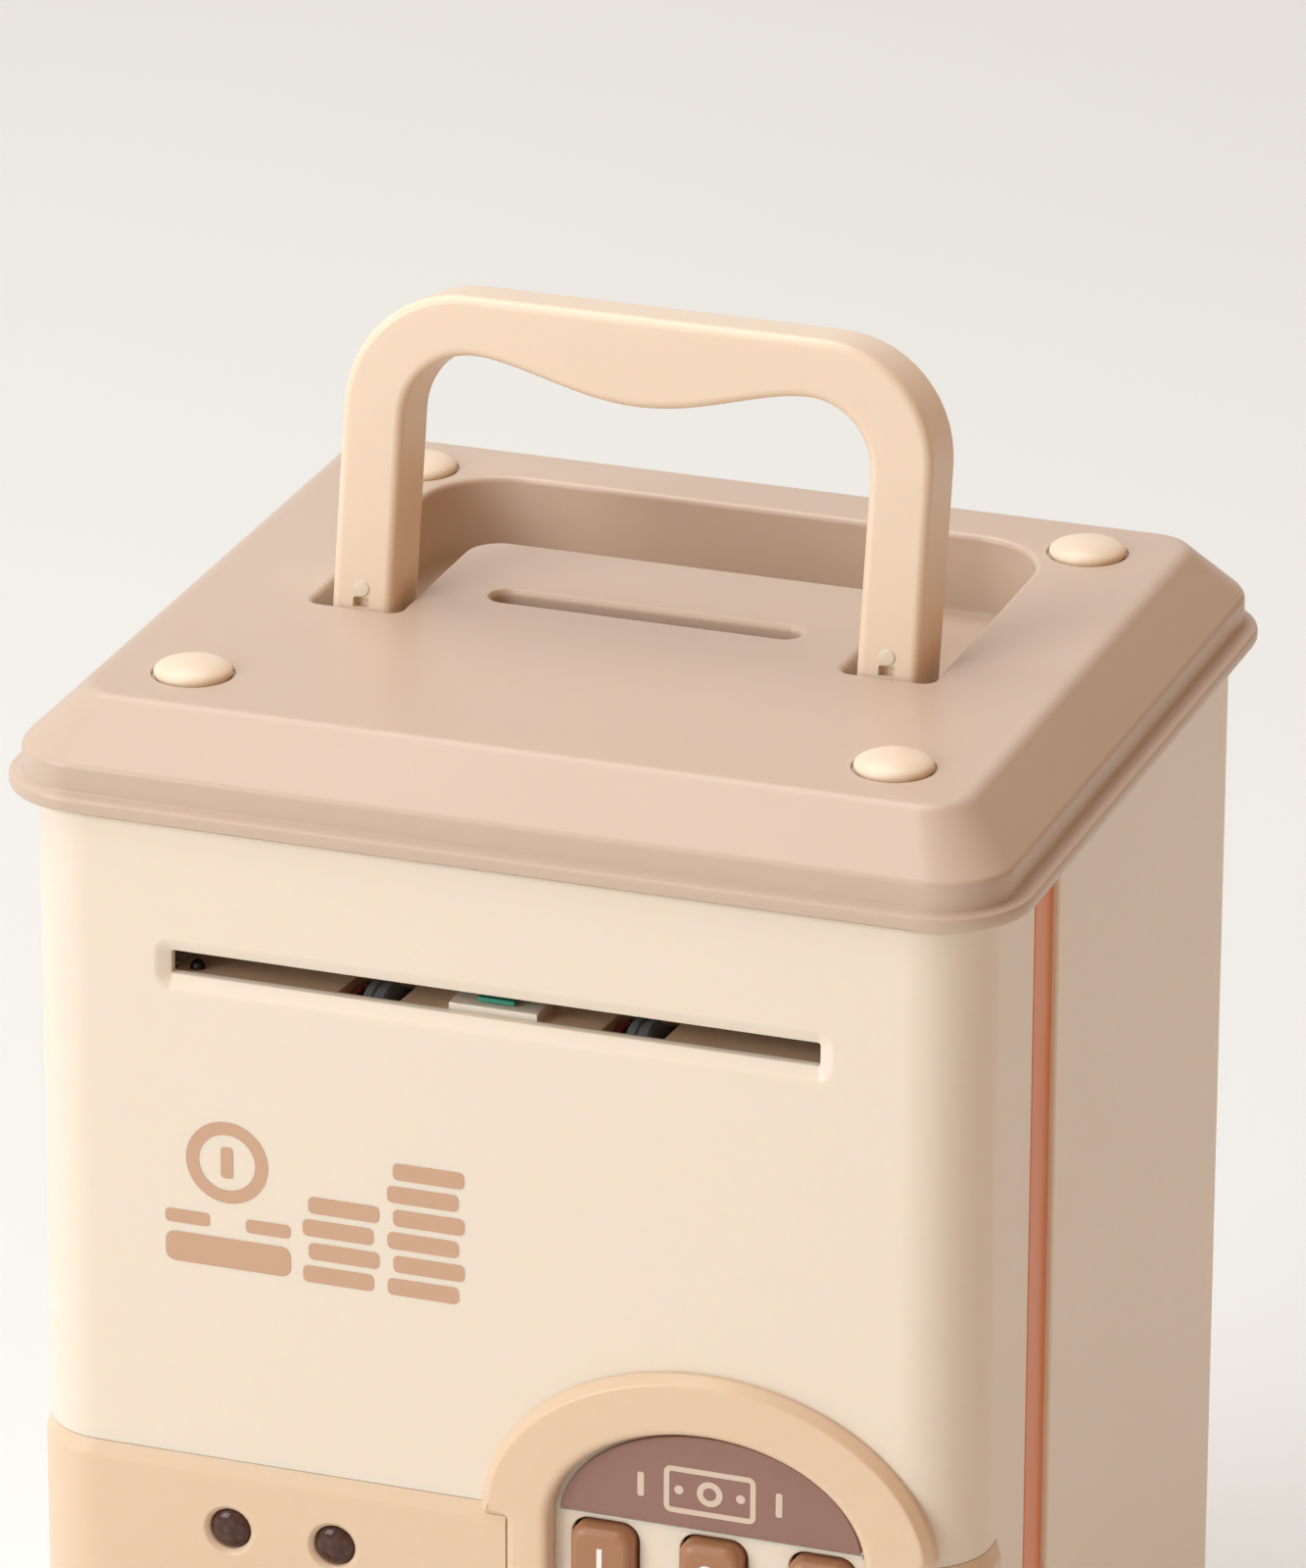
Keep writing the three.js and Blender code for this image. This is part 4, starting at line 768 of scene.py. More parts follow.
def lid():
    low, high = LID_LOW, LID_HIGH

    def rim(edge):
        return rectangle(low.x + edge["in_x"], high.x - edge["in_x"], low.y + edge["in_front"],
                         high.y - edge["in_rear"], edge["r"])

    flange = rectangle(low.x, high.x, low.y, high.y, FLANGE_R)
    skirt, plate = rim(SKIRT), rim(PLATE)
    form = Form(on_top)
    under = LID_TOP - LID_THICK
    levels = [
        (plate, -1.7, under), (skirt, -2.1, 182.2), (skirt, -2.1, 177.1), (skirt, -1.8, 176.8),
        (flange, -0.6, 176.8), (flange, -0.18, 176.98), (flange, 0, 177.4), (flange, 0, 178.3),
        (flange, -0.18, 178.72), (flange, -0.6, 178.9), (skirt, 0.7, 178.95), (skirt, 0.2, 179.2),
        (skirt, 0, 179.7), (skirt, 0, 182.3), (skirt, -0.12, 182.78), (skirt, -0.45, 183.25),
        (plate, 0.75, 189.25), (plate, 0.2, 189.7), (plate, -0.5, 189.93), (plate, -1.3, LID_TOP),
    ]
    rings = [form.ring(offset(outline, grow), z) for outline, grow, z in levels]
    form.skin(rings)

    recess, floor = recess_outline(), LID_TOP - RECESS["depth"]
    recess_top, recess_floor = form.wall(recess, [
        (0.9, LID_TOP), (0.42, LID_TOP - 0.12), (0.12, LID_TOP - 0.42), (0, LID_TOP - 0.9),
        (-0.08, floor + 1.0), (-0.35, floor + 0.3), (-1.0, floor)])
    form.flat(recess_floor)
    tub_bottom = floor - 1.5
    tub_top, tub_floor = form.wall(recess, [
        (TUB_WALL, under), (TUB_WALL, tub_bottom + 0.3), (1.5, tub_bottom)])
    form.flat(tub_floor)

    x, y, half = COIN_SLOT["x"], COIN_SLOT["y"], COIN_SLOT["half"]
    slot = rectangle(-x, x, y - half, y + half, half - 0.02)
    slot_top, slot_low = form.wall(slot, [
        (1.0, LID_TOP), (0.45, LID_TOP - 0.14), (0.12, LID_TOP - 0.5), (0, LID_TOP - 1.1), (0, tub_bottom)])
    collar = COIN_SLOT["collar"]
    collar_low, collar_top = form.wall(slot, [(collar, tub_bottom), (collar, under)])
    form.flat(slot_low, collar_low)

    seats = []
    for cx, cy in cap_places():
        seat_top, seat_floor = form.wall(circle(cx, cy, CAP_SEAT["r"]), [
            (0.12, LID_TOP), (0, LID_TOP - 0.12), (0, LID_TOP - CAP_SEAT["deep"])])
        form.bm.faces.new(seat_floor)
        seats.append(seat_top)
    form.flat(rings[-1], recess_top, slot_top, *seats)
    form.flat(rings[0], tub_top, collar_top)
    fit(form.piece("lid_shell", TAUPE), "case", "taupe_plastic", "lid")


def lid_caps():
    low, high = box_mm("lid_cap_front_left")
    radius = (high.x - low.x) / 2
    edge = LID_TOP - CAP_SEAT["deep"] + 0.75
    caps = grown("lid_caps", DOME, [(x, y, edge) for x, y in cap_places()], Radius=radius * MM,
                 Rise=(high.z - edge) * MM, Skirt=0.6 * MM, Turn=UPRIGHT, Finish=PALE_PEACH)
    corners = ["front_left", "front_right", "rear_left", "rear_right"]
    fit(caps, "case", "handle_plastic", *["lid_cap_" + corner for corner in corners])


# ---------------------------------------------------------------- carry handle

def handle_stations():
    """Pairs of (inner, outer) points along the bow from the left foot to the right foot."""
    h = HANDLE
    half = h["half"]
    ri, ro = h["inner_r"], h["outer_r"]
    spring_in, spring_out = h["inner_top"] - ri, h["top"] - ro
    left = []
    for k in range(9):
        v = -half * math.cos(math.radians(10 + 80 * k / 8))
        left.append(((-h["inner"], v), (-h["outer"], v)))
    for k in range(1, 5):
        left.append(((-h["inner"], spring_in * k / 5), (-h["outer"], spring_out * k / 5)))
    for k in range(15):
        a = math.radians(180 - 90 * k / 14)
        left.append(((-h["inner"] + ri + ri * math.cos(a), spring_in + ri * math.sin(a)),
                     (-h["outer"] + ro + ro * math.cos(a), spring_out + ro * math.sin(a))))
    reach_in, reach_out, steps = h["inner"] - ri, h["outer"] - ro, 18
    for k in range(1, steps + 1):
        share = 1 - k / steps
        u = -reach_in * share
        wave = 0.5 + 0.5 * math.cos(math.pi * min(1.0, abs(u) / h["swell_half"]))
        left.append(((u, h["inner_top"] - h["swell"] * wave ** 0.8), (-reach_out * share, h["top"])))
    right = [((-a[0], a[1]), (-b[0], b[1])) for a, b in reversed(left[:-1])]
    return left + right


def carry_handle():
    half, edge, steps = HANDLE["half"], 1.25, 5
    form = Form(on_top)
    lean = Matrix.Rotation(-math.radians(HANDLE["lean"]), 3, "X")
    pivot = Vector((0, HANDLE["pivot_y"], HANDLE["pivot_z"]))
    rings = []
    for inner, outer in handle_stations():
        a, b = Vector((inner[0], 0, inner[1])), Vector((outer[0], 0, outer[1]))
        across, middle, length = (b - a).normalized(), (a + b) / 2, (b - a).length / 2
        thick = half if inner[1] > 0 else math.sqrt(half * half - inner[1] ** 2)
        r = min(edge, thick * 0.9)
        section = rectangle(-length, length, -thick, thick, r, steps=steps)
        rings.append([form.bm.verts.new((pivot + lean @ (middle + across * u + Vector((0, v, 0)))) * MM)
                      for u, v in section])
    form.skin(rings)
    for ring in (rings[0], rings[-1]):
        form.bm.faces.new(ring)
    grip = form.piece("handle_bow", PALE_PEACH)

    def leaned(u, v, h):
        return (pivot + lean @ Vector((u, -h, v))) * MM

    middle = (HANDLE["inner"] + HANDLE["outer"]) / 2
    notches = Form(leaned)
    for side in (-middle, middle):
        notch = rectangle(side - 1.1, side + 1.1, 4.0, 5.35, 0.15, steps=3)
        notches.solid(notch, [(0, half - 1.4), (0, half + 1)])
    carved(grip, notches)
    bore = Form(on_side)
    reach = HANDLE["outer"] + 1
    bore.solid(circle(HANDLE["pivot_y"], HANDLE["pivot_z"], PIN_BORE, 32), [(0, -reach), (0, reach)])
    carved(grip, bore)
    fit(grip, "handle", "handle_plastic", "carry_handle")
    nubs = Form(leaned)
    for side in (-middle, middle):
        nubs.turned(side, 6.5, [
            (1.15, half - 0.3), (1.15, half - 0.05), (0.98, half + 0.16), (0.5, half + 0.2)], 28)
    fit(nubs.piece("handle_nubs", PALE_PEACH), "handle", "handle_plastic")


# ---------------------------------------------------------------- door shell, fascia, keypad surround

def door_outline(grow=0.0):
    x = DOOR_HIGH.x + grow
    return rounded([(-x, -FRONT - grow, DOOR_R + grow), (x, -FRONT - grow, DOOR_R + grow),
                    (x, DOOR_HIGH.y, DOOR_REAR_R), (-x, DOOR_HIGH.y, DOOR_REAR_R)], 14)


def lamp_places():
    boxes = [box_mm("lamp_lens_" + side) for side in ("left", "right")]
    return [((low.x + high.x) / 2, (low.z + high.z) / 2) for low, high in boxes]


def door_panel():
    z0, z1 = DOOR_LOW.z, DOOR_HIGH.z
    form = Form(on_top)
    form.solid(door_outline(), [(-0.7, z0), (-0.2, z0 + 0.2), (0, z0 + 0.7), (0, z1 - 0.7), (-0.2, z1 - 0.2),
                                (-0.7, z1)])
    panel = form.piece("door_shell", CREAM)
    cavity = Form(on_top)
    inside = DOOR_HIGH.x - WALL
    cavity.solid(rectangle(-inside, inside, -FRONT + WALL, DOOR_HIGH.y + 5, DOOR_R - WALL, 0.5),
                 [(0, z0 + WALL), (0, z1 - WALL)])
    carved(panel, cavity)
    boss = Form(on_top)
    boss_front = HINGE["y"] - HINGE["boss_half"]
    boss.solid(rectangle(HINGE["boss_x"], inside + 0.5, boss_front, DOOR_HIGH.y, 0.2, steps=2),
               [(0, z0 + 0.5), (0, z1 - 0.5)])
    carved(panel, boss, "UNION")
    bores = Form(on_top)
    for low, high in ((z0 - 1, z0 + HINGE["reach"]), (z1 - HINGE["reach"], z1 + 1)):
        bores.solid(circle(HINGE["x"], HINGE["y"], PIN_BORE, 32), [(0, low), (0, high)])
    carved(panel, bores)
    rebate = Form(on_top)
    rebate.solid(door_wrap(1.0, FASCIA["inner"] - FASCIA["gap"], FASCIA["rear"] + FASCIA["gap"]),
                 [(0, z0 - 2), (0, FASCIA["top"] + 0.12)])
    carved(panel, rebate)
    mouth = Form(on_front)
    b = BILL_SLOT
    mouth.solid(rectangle(-b["x"], b["x"], b["low"], b["high"], 0.3, steps=4), [
        (0, FRONT - WALL - 1), (0, FRONT - 1.35), (0.07, FRONT - 1.12), (0.28, FRONT - 0.95),
        (1.55, FRONT - 0.18), (1.95, FRONT - 0.04), (2.4, FRONT + 0.02), (3.2, FRONT + 0.6)])
    carved(panel, mouth)
    holes = Form(on_front)
    holes.solid(window(3, 3), [(0, FRONT - WALL - 1), (0, FRONT + 2)])
    for x, z in lamp_places():
        holes.solid(circle(x, z, LAMP_HOLE), [(0, FRONT - WALL - 1), (0, FRONT + 2)])
    holes.solid(circle(KNOB["x"], KNOB["z"], KNOB_BORE), [(0, FRONT - WALL - 1), (0, FRONT + 2)])
    carved(panel, holes)
    fit(panel, "door", "cream_plastic", "door_panel")


def lower_fascia():
    f = FASCIA
    form = Form(on_top)
    z0 = box_mm("lower_fascia")[0].z
    levels = [(0.3, z0), (0.62, z0 + 0.15), (0.7, z0 + 0.5), (0.7, f["ledge"] - 0.3), (0.68, f["ledge"]),
              (0.58, f["ledge"] + 0.25), (0.05, f["top"] - 0.12), (-0.05, f["top"])]
    rings = [form.ring(door_wrap(out, f["inner"], f["rear"]), z) for out, z in levels]
    form.skin(rings)
    form.flat(rings[0])
    form.flat(rings[-1])
    skin = form.piece("fascia_skin", PEACH)
    around = Form(on_front)
    around.solid(offset(bezel_outline(), 0.16), [(0, FRONT - 3), (0, FRONT + 3)])
    carved(skin, around)
    holes = Form(on_front)
    face = FRONT + f["proud"]
    for x, z in lamp_places():
        holes.solid(circle(x, z, LAMP_HOLE), [
            (0, FRONT - 3), (0, face - 0.75), (0.1, face - 0.55), (0.6, face - 0.12),
            (0.85, face + 0.01), (1.2, face + 0.3)])
    holes.solid(circle(KNOB["x"], KNOB["z"], KNOB_BORE), [(0, FRONT - 3), (0, FRONT + 3)])
    carved(skin, holes)
    fit(skin, "door", "peach_plastic", "lower_fascia")


def keypad_bezel():
    low = box_mm("keypad_bezel")[0]
    face, rear = -low.y, FRONT - 0.5
    form = Form(on_front)
    outer_rear, outer_front = form.wall(bezel_outline(), [
        (0, rear), (0, face - 1.45), (-0.06, face - 1.3), (-0.95, face - 0.24), (-1.12, face - 0.07),
        (-1.4, face)])
    inner_front, inner_rear = form.wall(window(0, 2), [
        (1.5, face), (1.0, face - 0.05), (0.5, face - 0.3), (0.17, face - 0.75), (0, face - 1.5), (0, rear)])
    form.flat(outer_front, inner_front)
    form.flat(outer_rear, inner_rear)
    fit(form.piece("keypad_surround", PEACH), "door", "peach_plastic", "keypad_bezel")


def key_centres():
    centres = {}
    for name in KEY_NAMES:
        low, high = box_mm("key_" + name)
        centres[name] = ((low.x + high.x) / 2, (low.z + high.z) / 2)
    return centres


def key_deck():
    low, high = box_mm("key_deck")
    face, rear = -low.y, -high.y
    form = Form(on_front)
    rear_ring, face_ring = form.wall(window(2.6, 3), [(0, rear), (0, face)])
    fronts, backs = [], []
    w, h, gap = KEY["w"] / 2 + KEY["hole"], KEY["h"] / 2 + KEY["hole"], KEY["r"] + KEY["hole"]
    for x, z in key_centres().values():
        hole = rectangle(x - w, x + w, z - h, z + h, gap, steps=6)
        front_hole, rear_hole = form.wall(hole, [
            (0.3, face), (0.08, face - 0.09), (0, face - 0.3), (0, rear)])
        fronts.append(front_hole)
        backs.append(rear_hole)
    form.flat(face_ring, *fronts)
    form.flat(rear_ring, *backs)
    ridge, reach, half = LABEL["base"] - 0.62, WINDOW["rx"] - 0.8, 0.24
    form.solid(rectangle(ARCH["x"] - reach, ARCH["x"] + reach, ridge - half, ridge + half, 0.1, steps=3), [
        (0, face - 0.2), (0, face + 0.2), (-0.12, face + 0.32)])
    fit(form.piece("deck_plate", CREAM), "door", "cream_plastic", "key_deck")


def keys():
    for name, (x, z) in key_centres().items():
        low, high = box_mm("key_" + name)
        edge = 1.35
        back = -high.y + 0.4
        cap = grown("cap_" + name, KEY_CAP, [(x, -back, z)], Width=KEY["w"] * MM, Height=KEY["h"] * MM,
                    Corner=KEY["r"] * MM, Stem=(-low.y - back - edge) * MM, Edge=edge * MM,
                    Turn=FACING_FRONT, Finish=BROWN)
        fit(cap, f"key_{name}_cap", "brown_plastic", "key_" + name)
        mark = key_mark(name, x, z, -low.y)
        fit(mark, f"key_{name}_cap", "white_plastic")


def key_mark(name, x, z, face):
    """White print on a key: a numeral, a star of three bars or a pair of crossed bars."""
    thick, size = 0.06, 5.0
    if name == "star":
        form = Form(on_front)
        for k in range(3):
            bar_mark(form, x, z, 3.4, 0.85, math.radians(60 * k + 30), face, thick)
        return form.piece("mark_" + name, WHITE_INK)
    if name == "hash":
        form = Form(on_front)
        for shift in (-0.75, 0.75):
            bar_mark(form, x + shift, z, 3.6, 0.62, math.radians(82), face, thick)
            bar_mark(form, x, z + shift, 3.6, 0.62, 0.0, face, thick)
        return form.piece("mark_" + name, WHITE_INK)
    letter = bpy.data.curves.new("numeral", "FONT")
    letter.body, letter.size, letter.extrude, letter.offset = name, size, thick, 0.11
    letter.align_x, letter.align_y, letter.resolution_u = "CENTER", "CENTER", 4
    source = bpy.data.objects.new("numeral", letter)
    bpy.context.scene.collection.objects.link(source)
    mesh = bpy.data.meshes.new_from_object(source.evaluated_get(bpy.context.evaluated_depsgraph_get()))
    bpy.data.objects.remove(source)
    low = Vector([min(v.co[i] for v in mesh.vertices) for i in range(3)])
    high = Vector([max(v.co[i] for v in mesh.vertices) for i in range(3)])
    centred = Matrix.Translation(-(low + high) / 2)
    facing = Euler(FACING_FRONT).to_matrix().to_4x4()
    mesh.transform(Matrix.Scale(MM, 4) @ Matrix.Translation((x, -face, z)) @ facing @ centred)
    return new_piece("mark_" + name, mesh, WHITE_INK)


def bar_mark(form, x, z, long, wide, turn, face, thick, lift=-0.05):
    """A thin printed bar with round ends."""
    outline = rectangle(-long / 2, long / 2, -wide / 2, wide / 2, wide * 0.3, steps=3)
    c, s = math.cos(turn), math.sin(turn)
    placed = [(x + u * c - v * s, z + u * s + v * c) for u, v in outline]
    form.solid(placed, [(0, face + lift), (0, face + thick)])


def ring_mark(form, x, z, outer, inner, face, thick):
    """A thin printed ring, or a disc where inner is 0."""
    if inner <= 0:
        form.solid(circle(x, z, outer), [(0, face - 0.05), (0, face + thick)])
        return
    low_out, high_out = form.wall(circle(x, z, outer), [(0, face - 0.05), (0, face + thick)])
    low_in, high_in = form.wall(circle(x, z, inner), [(0, face - 0.05), (0, face + thick)])
    form.flat(low_out, low_in)
    form.flat(high_out, high_in)


def frame_mark(form, x, z, wide, high, r, line, face, thick):
    outline = rectangle(x - wide / 2, x + wide / 2, z - high / 2, z + high / 2, r, steps=6)
    low_out, high_out = form.wall(outline, [(0, face - 0.05), (0, face + thick)])
    low_in, high_in = form.wall(outline, [(-line, face - 0.05), (-line, face + thick)])
    form.flat(low_out, low_in)
    form.flat(high_out, high_in)


def label():
    low, high = box_mm("label_plate")
    face = -low.y
    form = Form(on_front)
    form.solid(label_outline(), [(0, -high.y - 0.25), (0, face - 0.1), (-0.1, face)])
    fit(form.piece("label_film", FILM), "door", "label_film", "label_plate")
    art = Form(on_front)
    x, z = ARCH["x"], LABEL["base"] + 5.2
    frame_mark(art, x, z, 12.5, 6.6, 1.0, 0.75, face, 0.04)
    ring_mark(art, x, z, 1.75, 0.9, face, 0.04)
    for side in (-1, 1):
        ring_mark(art, x + side * 4.2, z, 0.62, 0, face, 0.04)
        bar_mark(art, x + side * 9.4, z, 3.4, 0.9, math.radians(90), face, 0.04)
    fit(art.piece("label_art", PALE_INK), "door", "cream_plastic")


def door_print():
    """Plain pictogram on the door: a coin falling towards a slot beside two stacks of coins."""
    art = Form(on_front)
    thick, coin_x, foot = 0.05, -36.2, 115.3
    ring_mark(art, coin_x, 130.4, 5.7, 3.9, FRONT, thick)
    bar_mark(art, coin_x, 130.4, 4.4, 1.7, math.radians(90), FRONT, thick)
    for side in (-1, 1):
        bar_mark(art, coin_x + side * 5.6, foot + 6.6, 6.2, 1.9, 0.0, FRONT, thick)
    bar_mark(art, coin_x, foot + 2.3, 17.4, 4.2, 0.0, FRONT, thick)
    for column, count in ((-20.6, 4), (-8.9, 6)):
        for k in range(count):
            middle = column + (0.5 if k % 2 else -0.3)
            bar_mark(art, middle, foot + 1.2 + 3.25 * k, 9.8, 2.35, 0.0, FRONT, thick)
    fit(art.piece("door_print", INK), "door", "label_film")


def lamps():
    seat = FRONT - 0.35
    rise = -box_mm("lamp_lens_left")[0].y - 0.15 - seat
    lenses = grown("lamp_lenses", DOME, [(x, -seat, z) for x, z in lamp_places()], Radius=2.7 * MM,
                   Rise=rise * MM, Skirt=1.6 * MM, Turn=FACING_FRONT, Finish=LENS)
    fit(lenses, "door", "lens_plastic", "lamp_lens_left", "lamp_lens_right")


# ---------------------------------------------------------------- case, base, feet

def case_shell():
    x, wall_front, rear = CASE_HIGH.x, CASE_FRONT, CASE_HIGH.y
    z0, z1 = CASE_LOW.z, CASE_WALL_TOP
    outline = rounded([
        (x, rear, BACK_R), (-x, rear, BACK_R), (-x, wall_front, 0.4), (-x + WALL, wall_front, 0.4),
        (-x + WALL, rear - WALL, BACK_R - WALL), (x - WALL, rear - WALL, BACK_R - WALL),
        (x - WALL, wall_front, 0.4), (x, wall_front, 0.4),
    ], 12)
    form = Form(on_top)
    ends = form.wall(outline, [(-0.3, z0), (-0.08, z0 + 0.1), (0, z0 + 0.35),
                               (0, z1 - 0.35), (-0.08, z1 - 0.1), (-0.3, z1)])
    for ring in ends:
        form.flat(ring)
    fit(form.piece("case_walls", CREAM), "case", "cream_plastic", "case_shell")
    lips = Form(on_top)
    for side in (-1, 1):
        a, b = sorted((side * (x - 0.9), side * (x - WALL)))
        lips.solid(rectangle(a, b, CASE_LOW.y, wall_front + 2, 0.4, steps=4),
                   [(-0.2, z0), (0, z0 + 0.3), (0, CASE_HIGH.z - 0.3), (-0.2, CASE_HIGH.z)])
    # The lips wear the painted orange glow of light through the seam; their plastic is cream.
    fit(lips.piece("case_lips", PAINTED_GLOW_LIP), "case", "cream_plastic")


def feet():
    corners = ["foot_front_left", "foot_front_right", "foot_rear_left", "foot_rear_right"]
    form = Form(on_top)
    for corner in corners:
        low, high = box_mm(corner)
        x, y, r = (low.x + high.x) / 2, (low.y + high.y) / 2, (high.x - low.x) / 2
        form.turned(x, y, [(r - 1.9, 0.25), (r - 1.7, 0.0), (r - 0.5, 0.0), (r - 0.12, 0.15),
                           (r, 0.55), (r, high.z)])
    fit(form.piece("rubber_feet", RUBBER), "case", "rubber", *corners)


# ---------------------------------------------------------------- lock

def knob():
    k, r, face = KNOB, KNOB["r"], KNOB["face"]
    form = Form(on_front)
    form.turned(k["x"], k["z"], [
        (2.2, 19.1), (2.4, 19.4), (2.4, 22.7), (3.6, 22.75), (4.0, 23.2), (4.0, k["back"] - 0.1),
        (r - 0.6, k["back"]), (r, k["back"] + 0.6), (r, face - 1.9), (r - 0.5, face - 0.7),
        (r - 1.6, face - 0.1), (r - 2.6, face - 0.15), (r - 3.4, face - 0.8), (r - 4.2, face - 1.2),
        (2.0, face - 1.0)], 72)
    body = form.piece("knob_body", TAUPE)
    fit(body, "knob", "taupe_plastic", "lock_knob")
    grip = Form(on_front)
    outline = rectangle(k["x"] - 3.5, k["x"] + 3.5, k["z"] - 15.4, k["z"] + 15.4, 3.4)
    grip.solid(outline, [(0.5, face - 1.6), (0.1, face - 0.9), (0, face), (-0.25, k["grip"] - 1.2),
                         (-0.5, k["grip"] - 0.5), (-1.0, k["grip"] - 0.1), (-1.7, k["grip"])])
    fit(grip.piece("knob_grip", TAUPE), "knob", "taupe_plastic")
    middle = (k["back"] + face) / 2 - 0.6
    ribs = grown("knob_ribs", RIBS, [(k["x"], -middle, k["z"])], Count=44, Ring=r * MM, Rib=0.45 * MM,
                 Length=3.0 * MM, Turn=FACING_FRONT, Finish=TAUPE)
    fit(ribs, "knob", "taupe_plastic")
    pointer = Form(on_front)
    bar_mark(pointer, k["x"], k["z"] + 12.3, 3.2, 1.0, math.radians(90), k["grip"], 0.0, -0.35)
    fit(pointer.piece("knob_mark", WHITE_INK), "knob", "white_plastic")


# ---------------------------------------------------------------- banknote feed and inside

def rollers():
    for side in ("left", "right"):
        low, high = box_mm("feed_roller_" + side)
        y, z, r = (low.y + high.y) / 2, (low.z + high.z) / 2, (high.z - low.z) / 2
        form = Form(on_side)
        form.turned(y, z, [(1.6, low.x), (r - 0.35, low.x), (r, low.x + 0.35), (r, low.x + 1.2),
                           (r - 0.25, low.x + 1.45), (r - 0.25, high.x - 1.45), (r, high.x - 1.2),
                           (r, high.x - 0.35), (r - 0.35, high.x), (1.6, high.x)])
        fit(form.piece("roller_tyre_" + side, GREY_TYRE), "feed_rollers", "rubber", "feed_roller_" + side)


def batteries():
    for n in (1, 2, 3):
        low, high = box_mm(f"battery_{n}")
        y, z, r = (low.y + high.y) / 2, (low.z + high.z) / 2, (high.z - low.z) / 2
        form = Form(on_side)
        form.turned(y, z, [(r - 1.2, low.x), (r - 0.5, low.x + 0.1), (r - 0.1, low.x + 0.5),
                           (r - 0.1, high.x - 2.2), (r - 0.6, high.x - 1.6), (r - 1.4, high.x - 1.4),
                           (2.9, high.x - 1.3), (2.7, high.x - 0.5), (2.3, high.x)])
        fit(form.piece(f"cell_{n}", SLEEVE), "door", "battery_can", f"battery_{n}")
        spring = grown(f"cell_spring_{n}", SPRING, [(low.x - 0.2, y, z)], Turns=3.0, Coil=2.6 * MM,
                       Length=-1.6 * MM, Wire=0.28 * MM, Turn=FACING_RIGHT, Finish=STEEL)
        fit(spring, "door", "steel")


def inside_pieces():
    """(node, body, slot, finish, edge radius) of each piece that follows its frame node closely."""
    for node, body, slot, finish, edge in (
        ("lid_frame", "case", "taupe_plastic", TAUPE, 0.3),
        ("base_plate", "case", "cream_plastic", CREAM, 0.4),
        ("latch_strike", "case", "steel", STEEL, 0.3),
        ("hinge_pin_bottom", "case", "steel", STEEL, 0.2),
        ("hinge_pin_top", "case", "steel", STEEL, 0.2),
        ("handle_pin_left", "case", "steel", STEEL, 0.2),
        ("handle_pin_right", "case", "steel", STEEL, 0.2),
        ("door_liner", "door", "white_plastic", WHITE, 0.35),
        ("battery_cover", "door", "white_plastic", WHITE, 0.35),
        # the ramp's finish carries painted light, a brighter peach than its plastic
        ("bill_ramp", "door", "peach_plastic", LIT_RAMP_PLASTIC, 0.15),
        ("note_sensor", "door", "circuit_board", BOARD, 0.08),
        ("keypad_board", "door", "circuit_board", BOARD, 0.1),
        ("key_mat", "door", "rubber", RUBBER, 0.2),
        ("idler_pin", "door", "steel", STEEL, 0.15),
        ("feed_motor", "door", "steel", STEEL, 0.4),
        ("lock_solenoid", "door", "steel", STEEL, 0.4),
        ("lock_plunger", "plunger", "steel", STEEL, 0.2),
        ("latch_cam", "knob", "steel", STEEL, 0.25),
        ("lock_disc", "knob", "white_plastic", WHITE, 0.2),
        ("roller_shaft", "feed_rollers", "steel", STEEL, 0.1),
        ("drive_gear", "feed_rollers", "white_plastic", WHITE, 0.1),
        ("idler_gear", "idler", "white_plastic", WHITE, 0.1),
        ("motor_pinion", "motor_rotor", "brass", BRASS, 0.06),
    ):
        refined(node, body, slot, finish, edge)


def screws():
    liner_low, liner_high = box_mm("door_liner")
    face = liner_high.y + 0.05
    spots = [(x, face, z) for x in (liner_low.x + 6, liner_high.x - 6)
             for z in (liner_low.z + 7, (liner_low.z + liner_high.z) / 2 - 14, liner_high.z - 7)]
    head = {"Radius": 2.5 * MM, "Rise": 1.0 * MM, "Skirt": 0.3 * MM, "Cross": 0.6 * MM}
    rear_heads = grown("liner_screws", SCREW, spots, **head, Turn=FACING_REAR, Finish=STEEL)
    fit(rear_heads, "door", "steel")
    cover_low, cover_high = box_mm("battery_cover")
    spot = [((cover_low.x + cover_high.x) / 2, cover_high.y + 0.05, cover_high.z - 4.5)]
    cover_head = grown("cover_screw", SCREW, spot, **head, Turn=FACING_REAR, Finish=STEEL)
    fit(cover_head, "door", "steel")
    base = box_mm("base_plate")[0]
    spots = [(x, y, base.z - 0.02) for x in (-36, 36) for y in (-36, 46)]
    under_heads = grown("base_screws", SCREW, spots, **head, Turn=FACING_DOWN, Finish=STEEL)
    fit(under_heads, "case", "steel")
    ramp_head = grown("ramp_screw", SCREW, [RAMP_SCREW], Radius=1.0 * MM, Rise=1.1 * MM, Skirt=1.2 * MM,
                      Cross=0.3 * MM, Turn=UPRIGHT, Finish=BLACK)
    fit(ramp_head, "door", "steel")


def sensor_wire():
    """Red wire from the liner that arches over the roller shaft at the left of both ramp windows."""
    left, right, liner, rear, near, top, end, under = WIRE_RUN.values()
    run = [(left, liner, end), (left, rear, end), (left, rear, top), (left, near, top), (left, near, under),
           (right, near, under), (right, near, top), (right, rear, top), (right, rear, end),
           (right, liner, end)]
    wire = grown("sensor_wire", WIRE, run, linked=True, Wire=0.42 * MM, Finish=RED_WIRE)
    fit(wire, "door", "rubber")


